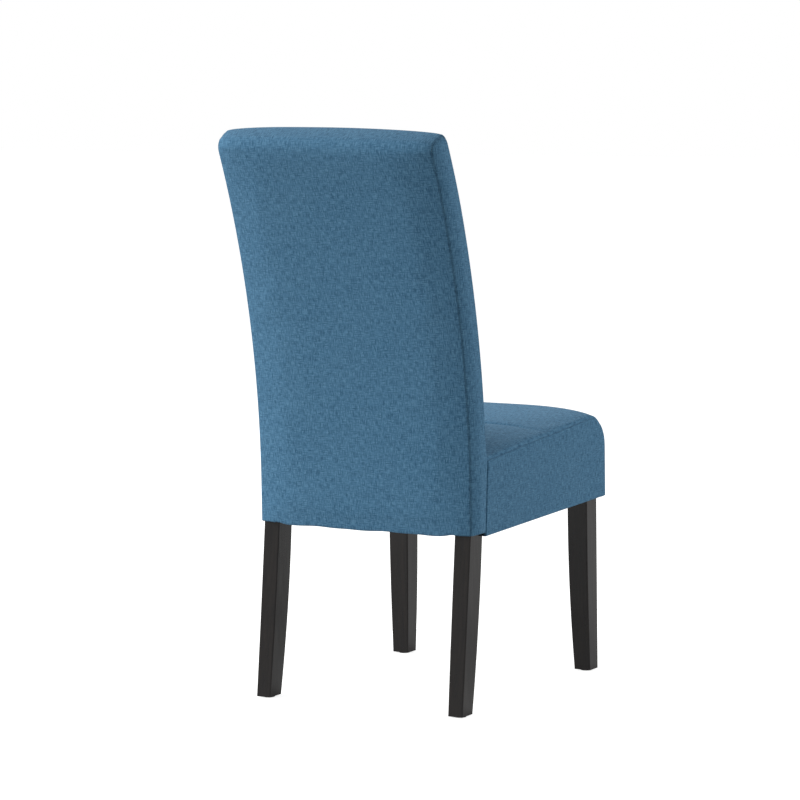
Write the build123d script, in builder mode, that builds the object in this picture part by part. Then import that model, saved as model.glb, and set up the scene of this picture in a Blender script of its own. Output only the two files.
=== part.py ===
from build123d import *

import os
from math import acos, asin, atan2, cos, hypot, sin, sqrt, tan

os.makedirs("parts", exist_ok=True)

# Overall sizes, millimetres; +X is the sitter's left, -Y the front, +Z up
chair_width = 460.0
seat_depth = 466.0
back_thickness = 54.0
back_side_height = 1054.5
back_bottom_height = 328.0
back_knee_lift = 72.0
back_bend_radius = 1640.0

# Roundings and crowns of the back cushion
back_rear_round = 18.0
back_front_round = 12.0
back_crest = 4.0
back_front_crown = 16.0
back_top_crown = 7.0
back_rear_crown = 5.0
back_lower_crown_share = 0.8
back_seam_rise = 360.0
back_seat_contact = 96.0

# Roundings and crowns of the seat cushion
seat_drop = 7.0
seat_slope = 0.03
seat_side_height = 142.0
seat_top_slope = 0.08
seat_crown = 15.0
seat_rear_crown_share = 0.95
seat_front_crown_share = 0.95
seat_front_crown = 4.0
seat_front_round = 62.0
seat_seam_setback = 236.0
seat_puff = 2.5

# Sewn channels
seam_half_width = 7.0
seam_depth = 4.0
edge_crown = 0.05

# Fabric, wadding and the small gap that soft pieces keep
fabric_thickness = 1.5
soft_gap = 0.3
side_wadding = 7.9
rear_wadding = 1.0
webbing_thickness = 1.5
dust_cover_thickness = 0.8

# Rear posts and the rails between them
post_width = 40.0
post_depth = 40.0
post_top_margin = 5.0
rear_leg_width = 33.0
rear_leg_depth = 45.0
rear_leg_kick = 38.5
rear_leg_rear_sag = 0.5
rear_leg_front_sag = 4.6
rear_foot_depth = 39.5
rear_foot_width = 30.0
back_rail_height = 56.0
back_rail_depth = 20.0
back_board_thickness = 3.0
bottom_rail_gap = 0.3
lower_rail_rise = 88.0
middle_rail_rise = 350.0
top_rail_drop = 1.0
back_strap_width = 50.0
back_strap_count = 4
back_strap_start = 150.0
back_strap_top_room = 144.0
strap_end_room = 3.0

# Front legs
front_leg_top = 42.0
front_foot = 34.0
front_leg_setback = 25.0
front_taper_drop = 28.0
leg_edge_round = 2.2
long_edge = 60.0

# Seat frame
seat_rail_height = 78.0
seat_rail_thickness = 20.0
seat_strap_width = 50.0
long_strap_count = 5
long_strap_pitch = 72.0
cross_strap_count = 4
cross_strap_pitch = 84.0
corner_chamfer = 8.0
corner_block_depth = 25.0
corner_block_height = 62.0
corner_block_lift = 6.0
dust_cover_inset = 5.0
dust_cover_notch_room = 1.0

# Fasteners
dowel_radius = 4.0
dowel_length = 48.0
dowel_spacing = 32.0
dowel_end_room = 0.5
seat_dowel_spacing = 36.0
seat_dowel_rear = 14.0
seat_dowel_front = 30.0
bolt_radius = 4.0
bolt_head_radius = 7.4
bolt_head_height = 5.3
washer_radius = 8.0
washer_thickness = 1.6
nut_height = 6.5
seat_bolt_reach = 30.0
seat_bolt_spacing = 30.0
seat_bolt_room = 1.0
barrel_nut_radius = 6.0
barrel_nut_length = 18.0
barrel_nut_setback = 22.0
bolt_end_room = 2.0
hanger_low = 24.0
hanger_spacing = 32.0
hanger_leg_reach = 26.0
hanger_tail = 12.0
screw_radius = 2.0
screw_head_radius = 4.0
screw_head_height = 3.0
screw_rail_reach = 14.0
screw_seat = 9.0
screw_low = 15.0
screw_spacing = 32.0
hole_clearance = 0.1
bolt_clearance = 0.4
cover_bolt_clearance = 2.0

# Foot glides
glide_radius = 11.0
glide_height = 2.5
glide_pin_radius = 1.3
glide_pin_length = 14.0

# Heights that follow the bottom of the back
hem = fabric_thickness + soft_gap
back_knee_height = back_bottom_height + back_knee_lift
rear_leg_knee = back_bottom_height + fabric_thickness
front_taper_height = back_bottom_height - front_taper_drop
seat_rear_bottom = back_bottom_height - seat_drop
seat_rear_top = seat_rear_bottom + seat_side_height
bottom_rail_low = back_bottom_height + hem + bottom_rail_gap
bottom_rail_rise = bottom_rail_low + back_rail_height / 2 - back_knee_height

# Shared positions
half_width = chair_width / 2
cover_half = half_width - fabric_thickness
soft_half = cover_half - soft_gap
frame_half = soft_half - side_wadding - soft_gap
skin = fabric_thickness + soft_gap
post_rear = skin + rear_wadding + soft_gap
post_front = post_rear + post_depth
strap_front = post_front + webbing_thickness
post_inner = frame_half - post_width

# Angle of the top of the back that gives the wanted height
front_radius = back_bend_radius + back_thickness
top_lever = front_radius - back_front_round
top_lift = back_side_height - back_knee_height - back_front_round
top_angle = asin(top_lift / hypot(top_lever, back_front_round)) + atan2(back_front_round, top_lever)
rear_sweep = back_bend_radius * (1 - cos(top_angle))
rear_trim = back_rear_round * (cos(top_angle) + sin(top_angle) - 1)
back_rake = rear_sweep - rear_trim + back_rear_crown

# Front and rear of the whole chair are centred on the origin
overall_depth = seat_front_crown + seat_depth + back_thickness + back_rake
seat_front = seat_front_crown - overall_depth / 2
joint = seat_front + seat_depth
back_rear = joint + back_thickness
bend_centre = back_rear + back_bend_radius

# Seat levels along the depth
seat_seam = seat_front + seat_seam_setback
leg_front = seat_front + front_leg_setback
leg_rear = leg_front + front_leg_top
rear_rail_rear = joint - skin
rear_rail_front = rear_rail_rear - seat_rail_thickness
side_rail_inner = frame_half - seat_rail_thickness
front_rail_rear = leg_front + seat_rail_thickness
leg_inner = frame_half - front_leg_top
soft_bottom = back_bottom_height + hem

# Corner blocks lie at 45 degrees behind the front legs; distances run along both rails
block_outer = (side_rail_inner - leg_inner) + (leg_rear - front_rail_rear) - corner_chamfer
block_inner = block_outer + corner_block_depth * sqrt(2)
block_screw = (block_outer + block_inner) / 2


def seat_bottom(y):
    return seat_rear_bottom + (joint - y) * seat_slope


def seat_side_top(y):
    return seat_rear_top + (joint - y) * seat_top_slope


def rail_bottom(y):
    return seat_bottom(y) + hem


def rail_top(y):
    return rail_bottom(y) + seat_rail_height


def crown_share(share):
    return max(1 - share ** 4, edge_crown)


def back_point(depth, angle):
    radius = back_bend_radius + depth
    return (bend_centre - radius * cos(angle), back_knee_height + radius * sin(angle))


def post_angle(rise):
    return rise / (back_bend_radius + post_front)


# A path is a start point and steps; a step is (end,) for a line or (middle, end) for an arc
def draw(start, steps):
    here = start
    for step in steps:
        if len(step) == 1:
            Line(here, step[0])
        else:
            ThreePointArc(here, step[0], step[1])
        here = step[-1]


def turned(start, steps):
    points = [start] + [step[-1] for step in steps]
    back = []
    for index in range(len(steps) - 1, -1, -1):
        if len(steps[index]) == 1:
            back.append((points[index],))
        else:
            back.append((steps[index][0], points[index]))
    return points[-1], back


def band(outer, inner):
    inner_start, inner_steps = turned(*inner)
    return outer[0], outer[1] + [(inner_start,)] + inner_steps + [(outer[0],)]


# Rounding of a corner between two straight lines: start, middle and end of the arc
def rounded(before, corner, after, radius):
    to_before = (before[0] - corner[0], before[1] - corner[1])
    to_after = (after[0] - corner[0], after[1] - corner[1])
    before_length = hypot(*to_before)
    after_length = hypot(*to_after)
    one = (to_before[0] / before_length, to_before[1] / before_length)
    two = (to_after[0] / after_length, to_after[1] / after_length)
    half_angle = acos(one[0] * two[0] + one[1] * two[1]) / 2
    reach = radius / tan(half_angle)
    split = (one[0] + two[0], one[1] + two[1])
    split_length = hypot(*split)
    depth = radius / sin(half_angle) - radius
    start = (corner[0] + one[0] * reach, corner[1] + one[1] * reach)
    end = (corner[0] + two[0] * reach, corner[1] + two[1] * reach)
    middle = (corner[0] + split[0] / split_length * depth, corner[1] + split[1] / split_length * depth)
    return start, middle, end


def between(one, two, lift):
    return ((one[0] + two[0]) / 2, (one[1] + two[1]) / 2 + lift)


# Skin of the seat at a share of its half width: front hem, over the top, rear edge
def seat_skin(share, inset):
    rise = seat_crown * crown_share(share)
    channel = seam_depth * crown_share(share)
    front = seat_front - seat_front_crown * crown_share(share) + inset
    rear = joint - soft_gap - inset
    seam_top = seat_side_top(seat_seam) + rise - inset
    front_top = seat_side_top(seat_front) + rise * seat_front_crown_share - inset
    rear_top = seat_side_top(joint) + rise * seat_rear_crown_share - inset
    front_foot_point = (front, seat_bottom(seat_front))
    front_channel = (seat_seam - seam_half_width, seam_top)
    rear_channel = (seat_seam + seam_half_width, seam_top)
    round_start, round_middle, round_end = rounded(
        front_foot_point, (front, front_top), front_channel, seat_front_round - inset
    )
    rear_edge = (rear, rear_top)
    puff = seat_puff * crown_share(share)
    steps = [
        (round_start,),
        (round_middle, round_end),
        (between(round_end, front_channel, puff), front_channel),
        ((seat_seam, seam_top - channel),),
        (rear_channel,),
        (between(rear_channel, rear_edge, puff), rear_edge),
    ]
    return front_foot_point, steps


# Skin of the back at a share of its half width: rear hem, over the top, front hem
def back_skin(share, inset):
    crown = crown_share(share)
    rear_depth = inset - back_rear_crown * crown
    front_depth = back_thickness - inset
    top_depth = front_depth + back_top_crown * crown
    full_depth = front_depth + back_front_crown * crown
    crest = top_angle + (back_crest * crown - inset) / front_radius
    rear_round = back_rear_round - inset
    front_round = back_front_round - inset
    rear_reach = back_bend_radius + rear_depth + rear_round
    rear_turn = crest - asin(rear_round / rear_reach)
    rear_flat = sqrt(rear_reach ** 2 - rear_round ** 2) - back_bend_radius
    front_reach = back_bend_radius + top_depth - front_round
    front_turn = crest - asin(front_round / front_reach)
    front_flat = sqrt(front_reach ** 2 - front_round ** 2) - back_bend_radius
    rear_centre = back_point(rear_depth + rear_round, rear_turn)
    front_centre = back_point(top_depth - front_round, front_turn)
    rear_tip = back_point(rear_depth, crest)
    front_tip = back_point(top_depth, crest)
    lower_crown = back_lower_crown_share * back_front_crown * crown
    seam_angle = back_seam_rise / front_radius
    seam_step = seam_half_width / front_radius
    contact_angle = back_seat_contact / front_radius
    channel = seam_depth * crown
    seam_upper = back_point(full_depth, seam_angle + seam_step)
    seam_lower = back_point(full_depth, seam_angle - seam_step)
    upper_middle = back_point(full_depth, (front_turn + seam_angle) / 2)
    lower_middle = back_point(front_depth + lower_crown, (seam_angle + contact_angle) / 2)
    steps = [
        (back_point(rear_depth, 0),),
        (back_point(rear_depth, rear_turn / 2), back_point(rear_depth, rear_turn)),
        (toward(rear_centre, rear_tip, rear_round), back_point(rear_flat, crest)),
        (back_point(front_flat, crest),),
        (toward(front_centre, front_tip, front_round), back_point(top_depth, front_turn)),
        (upper_middle, seam_upper),
        (back_point(full_depth - channel, seam_angle),),
        (seam_lower,),
        (lower_middle, back_point(front_depth, contact_angle)),
        (back_point(front_depth, contact_angle / 2), back_point(front_depth, 0)),
        ((joint + inset, back_bottom_height),),
    ]
    return (back_rear - rear_depth, back_bottom_height), steps


def toward(start, target, distance):
    span = hypot(target[0] - start[0], target[1] - start[1])
    step = distance / span
    return (start[0] + (target[0] - start[0]) * step, start[1] + (target[1] - start[1]) * step)


# Slab of the back between two depths, from one rise above the bend to another
def back_slab(near, far, low, high):
    high_angle = post_angle(high)
    low_angle = post_angle(max(low, 0.0))
    middle_angle = (low_angle + high_angle) / 2
    near_end = back_point(near, high_angle)
    steps = [
        (back_point(near, middle_angle), near_end),
        (back_point(far, high_angle),),
        (back_point(far, middle_angle), back_point(far, low_angle)),
    ]
    start = back_point(near, low_angle)
    if low < 0:
        steps.append(((back_rear - far, back_knee_height + low),))
        steps.append(((back_rear - near, back_knee_height + low),))
    steps.append((start,))
    return start, steps


# Slanted slab of the seat frame between two depths, bottom and top measured from the rail line
def seat_slab(front, rear, low, high):
    start = (front, rail_bottom(front) + low)
    steps = [
        ((front, rail_bottom(front) + high),),
        ((rear, rail_bottom(rear) + high),),
        ((rear, rail_bottom(rear) + low),),
        (start,),
    ]
    return start, steps


def closed(path):
    return path[0], path[1] + [(path[0],)]


# Middle of an arc that leaves the upright at the knee and ends at the foot
def kick_middle(knee, knee_height, foot):
    drop = knee_height - glide_height
    kick = abs(foot - knee)
    radius = (drop ** 2 + kick ** 2) / (2 * kick)
    half_turn = asin(drop / radius) / 2
    side = 1 if foot > knee else -1
    return (knee + side * radius * (1 - cos(half_turn)), knee_height - radius * sin(half_turn))


# Upright outline with one straight side and one side that curves in to the foot
def leg_taper(outer, inner, foot, top):
    start = (outer, glide_height)
    steps = [
        ((outer, top),),
        ((inner, top),),
        ((inner, front_taper_height),),
        (kick_middle(inner, front_taper_height, foot), (foot, glide_height)),
        (start,),
    ]
    return start, steps


# Back stile of a post, from the knee of the leg to its top
def stile_outline():
    rear_knee = (back_rear - post_rear, rear_leg_knee)
    front_knee = (back_rear - post_front, rear_leg_knee)
    steps = [
        (back_point(post_rear, 0),),
        (back_point(post_rear, post_top_angle / 2), back_point(post_rear, post_top_angle)),
        (back_point(post_front, post_top_angle),),
        (back_point(post_front, post_top_angle / 2), back_point(post_front, 0)),
        (front_knee,),
        (rear_knee,),
    ]
    return rear_knee, steps


# Rear leg at a share of its height: level, rear face, front face and inner face
def rear_leg_section(share):
    level = glide_height + share * (rear_leg_knee - glide_height)
    sag = 4 * share * (1 - share)
    rear = back_rear - post_rear + (1 - share) * rear_leg_kick - sag * rear_leg_rear_sag
    front_kick = rear_leg_kick + rear_leg_depth - rear_foot_depth
    knee_front = back_rear - post_rear - rear_leg_depth
    front = knee_front + (1 - share) * front_kick - sag * rear_leg_front_sag
    taper = (1 - share) ** 2
    inner = frame_half - rear_leg_width + taper * (rear_leg_width - rear_foot_width)
    return level, rear, front, inner


# Foam of the back: fills the cover in front of the straps and above the posts
def back_pad(share):
    path = back_skin(share, skin)
    inner = strap_front + soft_gap
    cap_angle = post_top_angle + soft_gap / front_radius
    rear_depth = skin - back_rear_crown * crown_share(share)
    start = back_point(rear_depth, cap_angle)
    rear_turn = path[1][1][1]
    turn_angle = atan2(rear_turn[1] - back_knee_height, bend_centre - rear_turn[0])
    steps = [(back_point(rear_depth, (cap_angle + turn_angle) / 2), rear_turn)]
    steps = steps + path[1][2:-1]
    steps.append(((joint + skin, soft_bottom),))
    steps.append(((back_rear - inner, soft_bottom),))
    steps.append((back_point(inner, 0),))
    steps.append((back_point(inner, cap_angle / 2), back_point(inner, cap_angle)))
    steps.append((start,))
    return start, steps


# Wadding behind the posts, thicker in the middle where the cover is crowned
def back_rear_pad(share):
    outer = skin - back_rear_crown * crown_share(share)
    inner = post_rear - soft_gap
    start = (back_rear - outer, rear_leg_knee)
    steps = [
        (back_point(outer, 0),),
        (back_point(outer, post_top_angle / 2), back_point(outer, post_top_angle)),
        (back_point(inner, post_top_angle),),
        (back_point(inner, post_top_angle / 2), back_point(inner, 0)),
        ((back_rear - inner, rear_leg_knee),),
        (start,),
    ]
    return start, steps


# Foam of the seat: fills the cover above the straps and in front of the front rail
def seat_pad(share):
    start, steps = seat_skin(share, skin)
    rear = steps[-1][-1][0]
    front = leg_front - soft_gap
    steps = steps + [
        ((rear, foam_bottom(rear)),),
        ((front, foam_bottom(front)),),
        ((front, rail_bottom(front)),),
        (start,),
    ]
    return start, steps


def foam_bottom(y):
    return rail_top(y) + 2 * webbing_thickness + soft_gap


def seat_side():
    start, steps = seat_skin(1, 0)
    return start, steps + [((joint - soft_gap, seat_bottom(joint)),), (start,)]


# Plane across a back rail, its own X up along the post
def rail_plane(rise):
    angle = post_angle(max(rise, 0.0))
    y, z = back_point(post_rear + back_board_thickness + back_rail_depth / 2, angle)
    return Plane(origin=(0, y, z + min(rise, 0.0)), x_dir=(0, sin(angle), cos(angle)), z_dir=(1, 0, 0))


# Plane of a hanger bolt on the inner face of the left corner block, its own Z towards the leg
def hanger_plane(height):
    spot = (side_rail_inner - block_inner / 2, front_rail_rear + block_inner / 2, height)
    return Plane(origin=spot, x_dir=(0, 0, 1), z_dir=(1, -1, 0))


def mirrored(spots):
    return spots + [(-spot[0], spot[1]) for spot in spots]


# One rail of the back with dowel holes in both ends
def back_rail(plane):
    with BuildPart() as rail:
        with BuildSketch(plane):
            Rectangle(back_rail_height, back_rail_depth)
        extrude(amount=post_inner, both=True)
        for start in [post_inner - dowel_hole, -post_inner]:
            with BuildSketch(plane.offset(start)):
                with Locations(*rail_dowel_spots):
                    Circle(dowel_radius + hole_clearance)
            extrude(amount=dowel_hole, mode=Mode.SUBTRACT)
    return rail.part


# Tops of the posts and the rails between them
post_top_room = max(back_rear_round, back_front_round) + post_top_margin
post_top_angle = top_angle - post_top_room / front_radius
post_top = post_top_angle * (back_bend_radius + post_front)
back_strap_pitch = (post_top - back_strap_start - back_strap_top_room) / (back_strap_count - 1)
back_rail_planes = [
    rail_plane(bottom_rail_rise),
    rail_plane(lower_rail_rise),
    rail_plane(middle_rail_rise),
    rail_plane(post_top - back_rail_height / 2 - top_rail_drop),
]
board_low = bottom_rail_rise - back_rail_height / 2
dowel_hole = dowel_length / 2 + dowel_end_room
rail_dowel_spots = [(-dowel_spacing / 2, 0), (dowel_spacing / 2, 0)]

# Bolts from the seat into the posts
seat_bolt_x = side_rail_inner - washer_radius - seat_bolt_room
seat_bolt_low = back_knee_height + bottom_rail_rise
seat_bolt_left = [(seat_bolt_x, seat_bolt_low), (seat_bolt_x, seat_bolt_low + seat_bolt_spacing)]
seat_bolt_spots = mirrored(seat_bolt_left)
seat_bolt_start = rear_rail_front - washer_thickness
seat_bolt_end = back_rear - post_front + seat_bolt_reach
seat_bolt_hole = seat_bolt_reach + bolt_end_room
barrel_nut_inner = seat_bolt_x - barrel_nut_length / 2
barrel_nut_y = back_rear - post_front + barrel_nut_setback
barrel_nut_spots = [(barrel_nut_y, spot[1]) for spot in seat_bolt_left]

# Dowels between the side rails and the rear rail
seat_dowel_x = frame_half - seat_rail_thickness / 2
seat_dowel_middle = rail_bottom(rear_rail_front) + seat_rail_height / 2
seat_dowel_left = [
    (seat_dowel_x, seat_dowel_middle - seat_dowel_spacing / 2),
    (seat_dowel_x, seat_dowel_middle + seat_dowel_spacing / 2),
]
seat_dowel_spots = mirrored(seat_dowel_left)

# Screws and hanger bolts of the corner blocks
block_bottom = rail_bottom(leg_front) + corner_block_lift
screw_heights = [block_bottom + screw_low, block_bottom + screw_low + screw_spacing]
side_screw_spots = [(front_rail_rear + block_screw, height) for height in screw_heights]
front_screw_left = [(side_rail_inner - block_screw, height) for height in screw_heights]
hanger_heights = [block_bottom + hanger_low, block_bottom + hanger_low + hanger_spacing]

# Feet
rear_foot_y = back_rear - post_rear + rear_leg_kick - rear_foot_depth / 2
rear_foot_spot = (frame_half - rear_foot_width / 2, rear_foot_y)
front_foot_spot = (frame_half - front_foot / 2, leg_front + front_foot / 2)
leg_top = rail_top(leg_rear)


leg_shares = [0, 0.25, 0.5, 0.75, 1]
side_shares = [-1, -0.93, -0.8, -0.55, -0.25]
skin_shares = side_shares + [0] + [-share for share in reversed(side_shares)]

# Back cushion: main cover over front, top and rear
with BuildPart() as back_main_cover:
    for share in skin_shares:
        with BuildSketch(Plane.YZ.offset(share * cover_half)):
            with BuildLine():
                draw(*band(back_skin(share, 0), back_skin(share, fabric_thickness)))
            make_face()
    loft()
    with BuildSketch(Plane.XZ.offset(-back_rear + post_front)):
        with Locations(*seat_bolt_spots):
            Circle(bolt_radius + cover_bolt_clearance)
    extrude(amount=2 * back_thickness, mode=Mode.SUBTRACT)
back_main_cover.part.label = "back_main_cover"
export_step(back_main_cover.part, "parts/back_main_cover.step")

# Back cushion: side covers
with BuildPart() as back_side_cover_left:
    with BuildSketch(Plane.YZ.offset(cover_half)):
        with BuildLine():
            draw(*closed(back_skin(1, 0)))
        make_face()
    extrude(amount=fabric_thickness)
back_side_cover_left.part.label = "back_side_cover_left"
export_step(back_side_cover_left.part, "parts/back_side_cover_left.step")

with BuildPart() as back_side_cover_right:
    mirror(back_side_cover_left.part, about=Plane.YZ)
back_side_cover_right.part.label = "back_side_cover_right"
export_step(back_side_cover_right.part, "parts/back_side_cover_right.step")

# Back cushion: strip that closes the bottom between the rear legs
with BuildPart() as back_bottom_cover:
    with BuildSketch(Plane.XY.offset(back_bottom_height)):
        with Locations((0, (joint + back_rear) / 2)):
            Rectangle(2 * (post_inner - soft_gap), back_thickness - 2 * skin)
    extrude(amount=fabric_thickness)
back_bottom_cover.part.label = "back_bottom_cover"
export_step(back_bottom_cover.part, "parts/back_bottom_cover.step")

# Back cushion: foam in front of the posts and over their tops
with BuildPart() as back_foam:
    for share in skin_shares:
        with BuildSketch(Plane.YZ.offset(share * soft_half)):
            with BuildLine():
                draw(*back_pad(share))
            make_face()
    loft()
    with BuildSketch(Plane.XZ.offset(-back_rear + post_front)):
        with Locations(*seat_bolt_spots):
            Circle(bolt_radius + cover_bolt_clearance)
    extrude(amount=2 * back_thickness, mode=Mode.SUBTRACT)
back_foam.part.label = "back_foam"
export_step(back_foam.part, "parts/back_foam.step")

# Back cushion: thin wadding behind the posts and beside them
with BuildPart() as back_rear_wadding:
    for share in skin_shares:
        with BuildSketch(Plane.YZ.offset(share * soft_half)):
            with BuildLine():
                draw(*back_rear_pad(share))
            make_face()
    loft()
back_rear_wadding.part.label = "back_rear_wadding"
export_step(back_rear_wadding.part, "parts/back_rear_wadding.step")

with BuildPart() as back_side_wadding:
    with BuildSketch(Plane.YZ.offset(frame_half + soft_gap)):
        with BuildLine():
            draw(*back_slab(post_rear, post_front, soft_bottom - back_knee_height, post_top))
        make_face()
    extrude(amount=side_wadding)
    mirror(about=Plane.YZ)
back_side_wadding.part.label = "back_side_wadding"
export_step(back_side_wadding.part, "parts/back_side_wadding.step")

# Back frame: posts that run on down as the rear legs
with BuildPart() as rear_post_left:
    with BuildSketch(Plane.YZ.offset(post_inner)):
        with BuildLine():
            draw(*stile_outline())
        make_face()
    extrude(amount=post_width)
    for share in leg_shares:
        level, rear, front, inner = rear_leg_section(share)
        with BuildSketch(Plane.XY.offset(level)):
            with Locations(((frame_half + inner) / 2, (rear + front) / 2)):
                RectangleRounded(frame_half - inner, rear - front, leg_edge_round)
    loft()
    for plane in back_rail_planes:
        with BuildSketch(plane.offset(post_inner)):
            with Locations(*rail_dowel_spots):
                Circle(dowel_radius + hole_clearance)
        extrude(amount=dowel_hole, mode=Mode.SUBTRACT)
    with BuildSketch(Plane.XZ.offset(-back_rear + post_front)):
        with Locations(*seat_bolt_left):
            Circle(bolt_radius + bolt_clearance)
    extrude(amount=-seat_bolt_hole, mode=Mode.SUBTRACT)
    with BuildSketch(Plane.YZ.offset(barrel_nut_inner - hole_clearance)):
        with Locations(*barrel_nut_spots):
            Circle(barrel_nut_radius + hole_clearance)
    extrude(amount=post_width, mode=Mode.SUBTRACT)
    with BuildSketch(Plane.XY.offset(glide_height)):
        with Locations(rear_foot_spot):
            Circle(glide_pin_radius + hole_clearance)
    extrude(amount=glide_pin_length + hole_clearance, mode=Mode.SUBTRACT)
rear_post_left.part.label = "rear_post_left"
export_step(rear_post_left.part, "parts/rear_post_left.step")

with BuildPart() as rear_post_right:
    mirror(rear_post_left.part, about=Plane.YZ)
rear_post_right.part.label = "rear_post_right"
export_step(rear_post_right.part, "parts/rear_post_right.step")

# Back frame: rails between the posts, all made the same way
with BuildPart() as back_bottom_rail:
    add(back_rail(back_rail_planes[0]))
back_bottom_rail.part.label = "back_bottom_rail"
export_step(back_bottom_rail.part, "parts/back_bottom_rail.step")

with BuildPart() as back_lower_rail:
    add(back_rail(back_rail_planes[1]))
back_lower_rail.part.label = "back_lower_rail"
export_step(back_lower_rail.part, "parts/back_lower_rail.step")

with BuildPart() as back_middle_rail:
    add(back_rail(back_rail_planes[2]))
back_middle_rail.part.label = "back_middle_rail"
export_step(back_middle_rail.part, "parts/back_middle_rail.step")

with BuildPart() as back_top_rail:
    add(back_rail(back_rail_planes[3]))
back_top_rail.part.label = "back_top_rail"
export_step(back_top_rail.part, "parts/back_top_rail.step")

with BuildPart() as back_rail_dowels:
    for plane in back_rail_planes:
        with BuildSketch(plane.offset(post_inner - dowel_length / 2)):
            with Locations(*rail_dowel_spots):
                Circle(dowel_radius)
        extrude(amount=dowel_length)
    mirror(about=Plane.YZ)
back_rail_dowels.part.label = "back_rail_dowels"
export_step(back_rail_dowels.part, "parts/back_rail_dowels.step")

# Back frame: board let in between the posts, straps across their fronts
with BuildPart() as back_board:
    with BuildSketch(Plane.YZ):
        with BuildLine():
            draw(*back_slab(post_rear, post_rear + back_board_thickness, board_low, post_top))
        make_face()
    extrude(amount=post_inner - hole_clearance, both=True)
back_board.part.label = "back_board"
export_step(back_board.part, "parts/back_board.step")

with BuildPart() as back_straps:
    for index in range(back_strap_count):
        low = back_strap_start + index * back_strap_pitch
        with BuildSketch(Plane.YZ):
            with BuildLine():
                draw(*back_slab(post_front, strap_front, low, low + back_strap_width))
            make_face()
        extrude(amount=frame_half - strap_end_room, both=True)
back_straps.part.label = "back_straps"
export_step(back_straps.part, "parts/back_straps.step")

# Seat cushion: top cover that rolls over the front
with BuildPart() as seat_top_cover:
    for share in skin_shares:
        with BuildSketch(Plane.YZ.offset(share * cover_half)):
            with BuildLine():
                draw(*band(seat_skin(share, 0), seat_skin(share, fabric_thickness)))
            make_face()
    loft()
seat_top_cover.part.label = "seat_top_cover"
export_step(seat_top_cover.part, "parts/seat_top_cover.step")

# Seat cushion: side covers
with BuildPart() as seat_side_cover_left:
    with BuildSketch(Plane.YZ.offset(cover_half)):
        with BuildLine():
            draw(*seat_side())
        make_face()
    extrude(amount=fabric_thickness)
seat_side_cover_left.part.label = "seat_side_cover_left"
export_step(seat_side_cover_left.part, "parts/seat_side_cover_left.step")

with BuildPart() as seat_side_cover_right:
    mirror(seat_side_cover_left.part, about=Plane.YZ)
seat_side_cover_right.part.label = "seat_side_cover_right"
export_step(seat_side_cover_right.part, "parts/seat_side_cover_right.step")

# Seat cushion: foam, side wadding
with BuildPart() as seat_foam:
    for share in skin_shares:
        with BuildSketch(Plane.YZ.offset(share * soft_half)):
            with BuildLine():
                draw(*seat_pad(share))
            make_face()
    loft()
seat_foam.part.label = "seat_foam"
export_step(seat_foam.part, "parts/seat_foam.step")

with BuildPart() as seat_side_wadding:
    with BuildSketch(Plane.YZ.offset(frame_half + soft_gap)):
        with BuildLine():
            draw(*seat_slab(leg_front, rear_rail_rear, 0, seat_rail_height))
        make_face()
    extrude(amount=side_wadding)
    mirror(about=Plane.YZ)
seat_side_wadding.part.label = "seat_side_wadding"
export_step(seat_side_wadding.part, "parts/seat_side_wadding.step")

# Seat frame: four rails
with BuildPart() as seat_front_rail:
    with BuildSketch(Plane.YZ):
        with BuildLine():
            draw(*seat_slab(leg_front, front_rail_rear, 0, seat_rail_height))
        make_face()
    extrude(amount=leg_inner, both=True)
    with BuildSketch(Plane.XZ.offset(-front_rail_rear)):
        with Locations(*mirrored(front_screw_left)):
            Circle(screw_radius + hole_clearance)
    extrude(amount=screw_rail_reach + hole_clearance, mode=Mode.SUBTRACT)
seat_front_rail.part.label = "seat_front_rail"
export_step(seat_front_rail.part, "parts/seat_front_rail.step")

with BuildPart() as seat_rear_rail:
    with BuildSketch(Plane.YZ):
        with BuildLine():
            draw(*seat_slab(rear_rail_front, rear_rail_rear, 0, seat_rail_height))
        make_face()
    extrude(amount=frame_half, both=True)
    with BuildSketch(Plane.XZ.offset(-rear_rail_front)):
        with Locations(*seat_bolt_spots):
            Circle(bolt_radius + bolt_clearance)
    extrude(amount=-seat_rail_thickness, mode=Mode.SUBTRACT)
    with BuildSketch(Plane.XZ.offset(-rear_rail_front)):
        with Locations(*seat_dowel_spots):
            Circle(dowel_radius + hole_clearance)
    extrude(amount=-seat_dowel_rear - dowel_end_room, mode=Mode.SUBTRACT)
seat_rear_rail.part.label = "seat_rear_rail"
export_step(seat_rear_rail.part, "parts/seat_rear_rail.step")

with BuildPart() as seat_left_rail:
    with BuildSketch(Plane.YZ.offset(side_rail_inner)):
        with BuildLine():
            draw(*seat_slab(leg_rear, rear_rail_front, 0, seat_rail_height))
        make_face()
    extrude(amount=seat_rail_thickness)
    with BuildSketch(Plane.XZ.offset(-rear_rail_front)):
        with Locations(*seat_dowel_left):
            Circle(dowel_radius + hole_clearance)
    extrude(amount=seat_dowel_front + dowel_end_room, mode=Mode.SUBTRACT)
    with BuildSketch(Plane.YZ.offset(side_rail_inner)):
        with Locations(*side_screw_spots):
            Circle(screw_radius + hole_clearance)
    extrude(amount=screw_rail_reach + hole_clearance, mode=Mode.SUBTRACT)
seat_left_rail.part.label = "seat_left_rail"
export_step(seat_left_rail.part, "parts/seat_left_rail.step")

with BuildPart() as seat_right_rail:
    mirror(seat_left_rail.part, about=Plane.YZ)
seat_right_rail.part.label = "seat_right_rail"
export_step(seat_right_rail.part, "parts/seat_right_rail.step")

with BuildPart() as seat_rail_dowels:
    with BuildSketch(Plane.XZ.offset(-rear_rail_front - seat_dowel_rear)):
        with Locations(*seat_dowel_spots):
            Circle(dowel_radius)
    extrude(amount=seat_dowel_rear + seat_dowel_front)
seat_rail_dowels.part.label = "seat_rail_dowels"
export_step(seat_rail_dowels.part, "parts/seat_rail_dowels.step")

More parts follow.
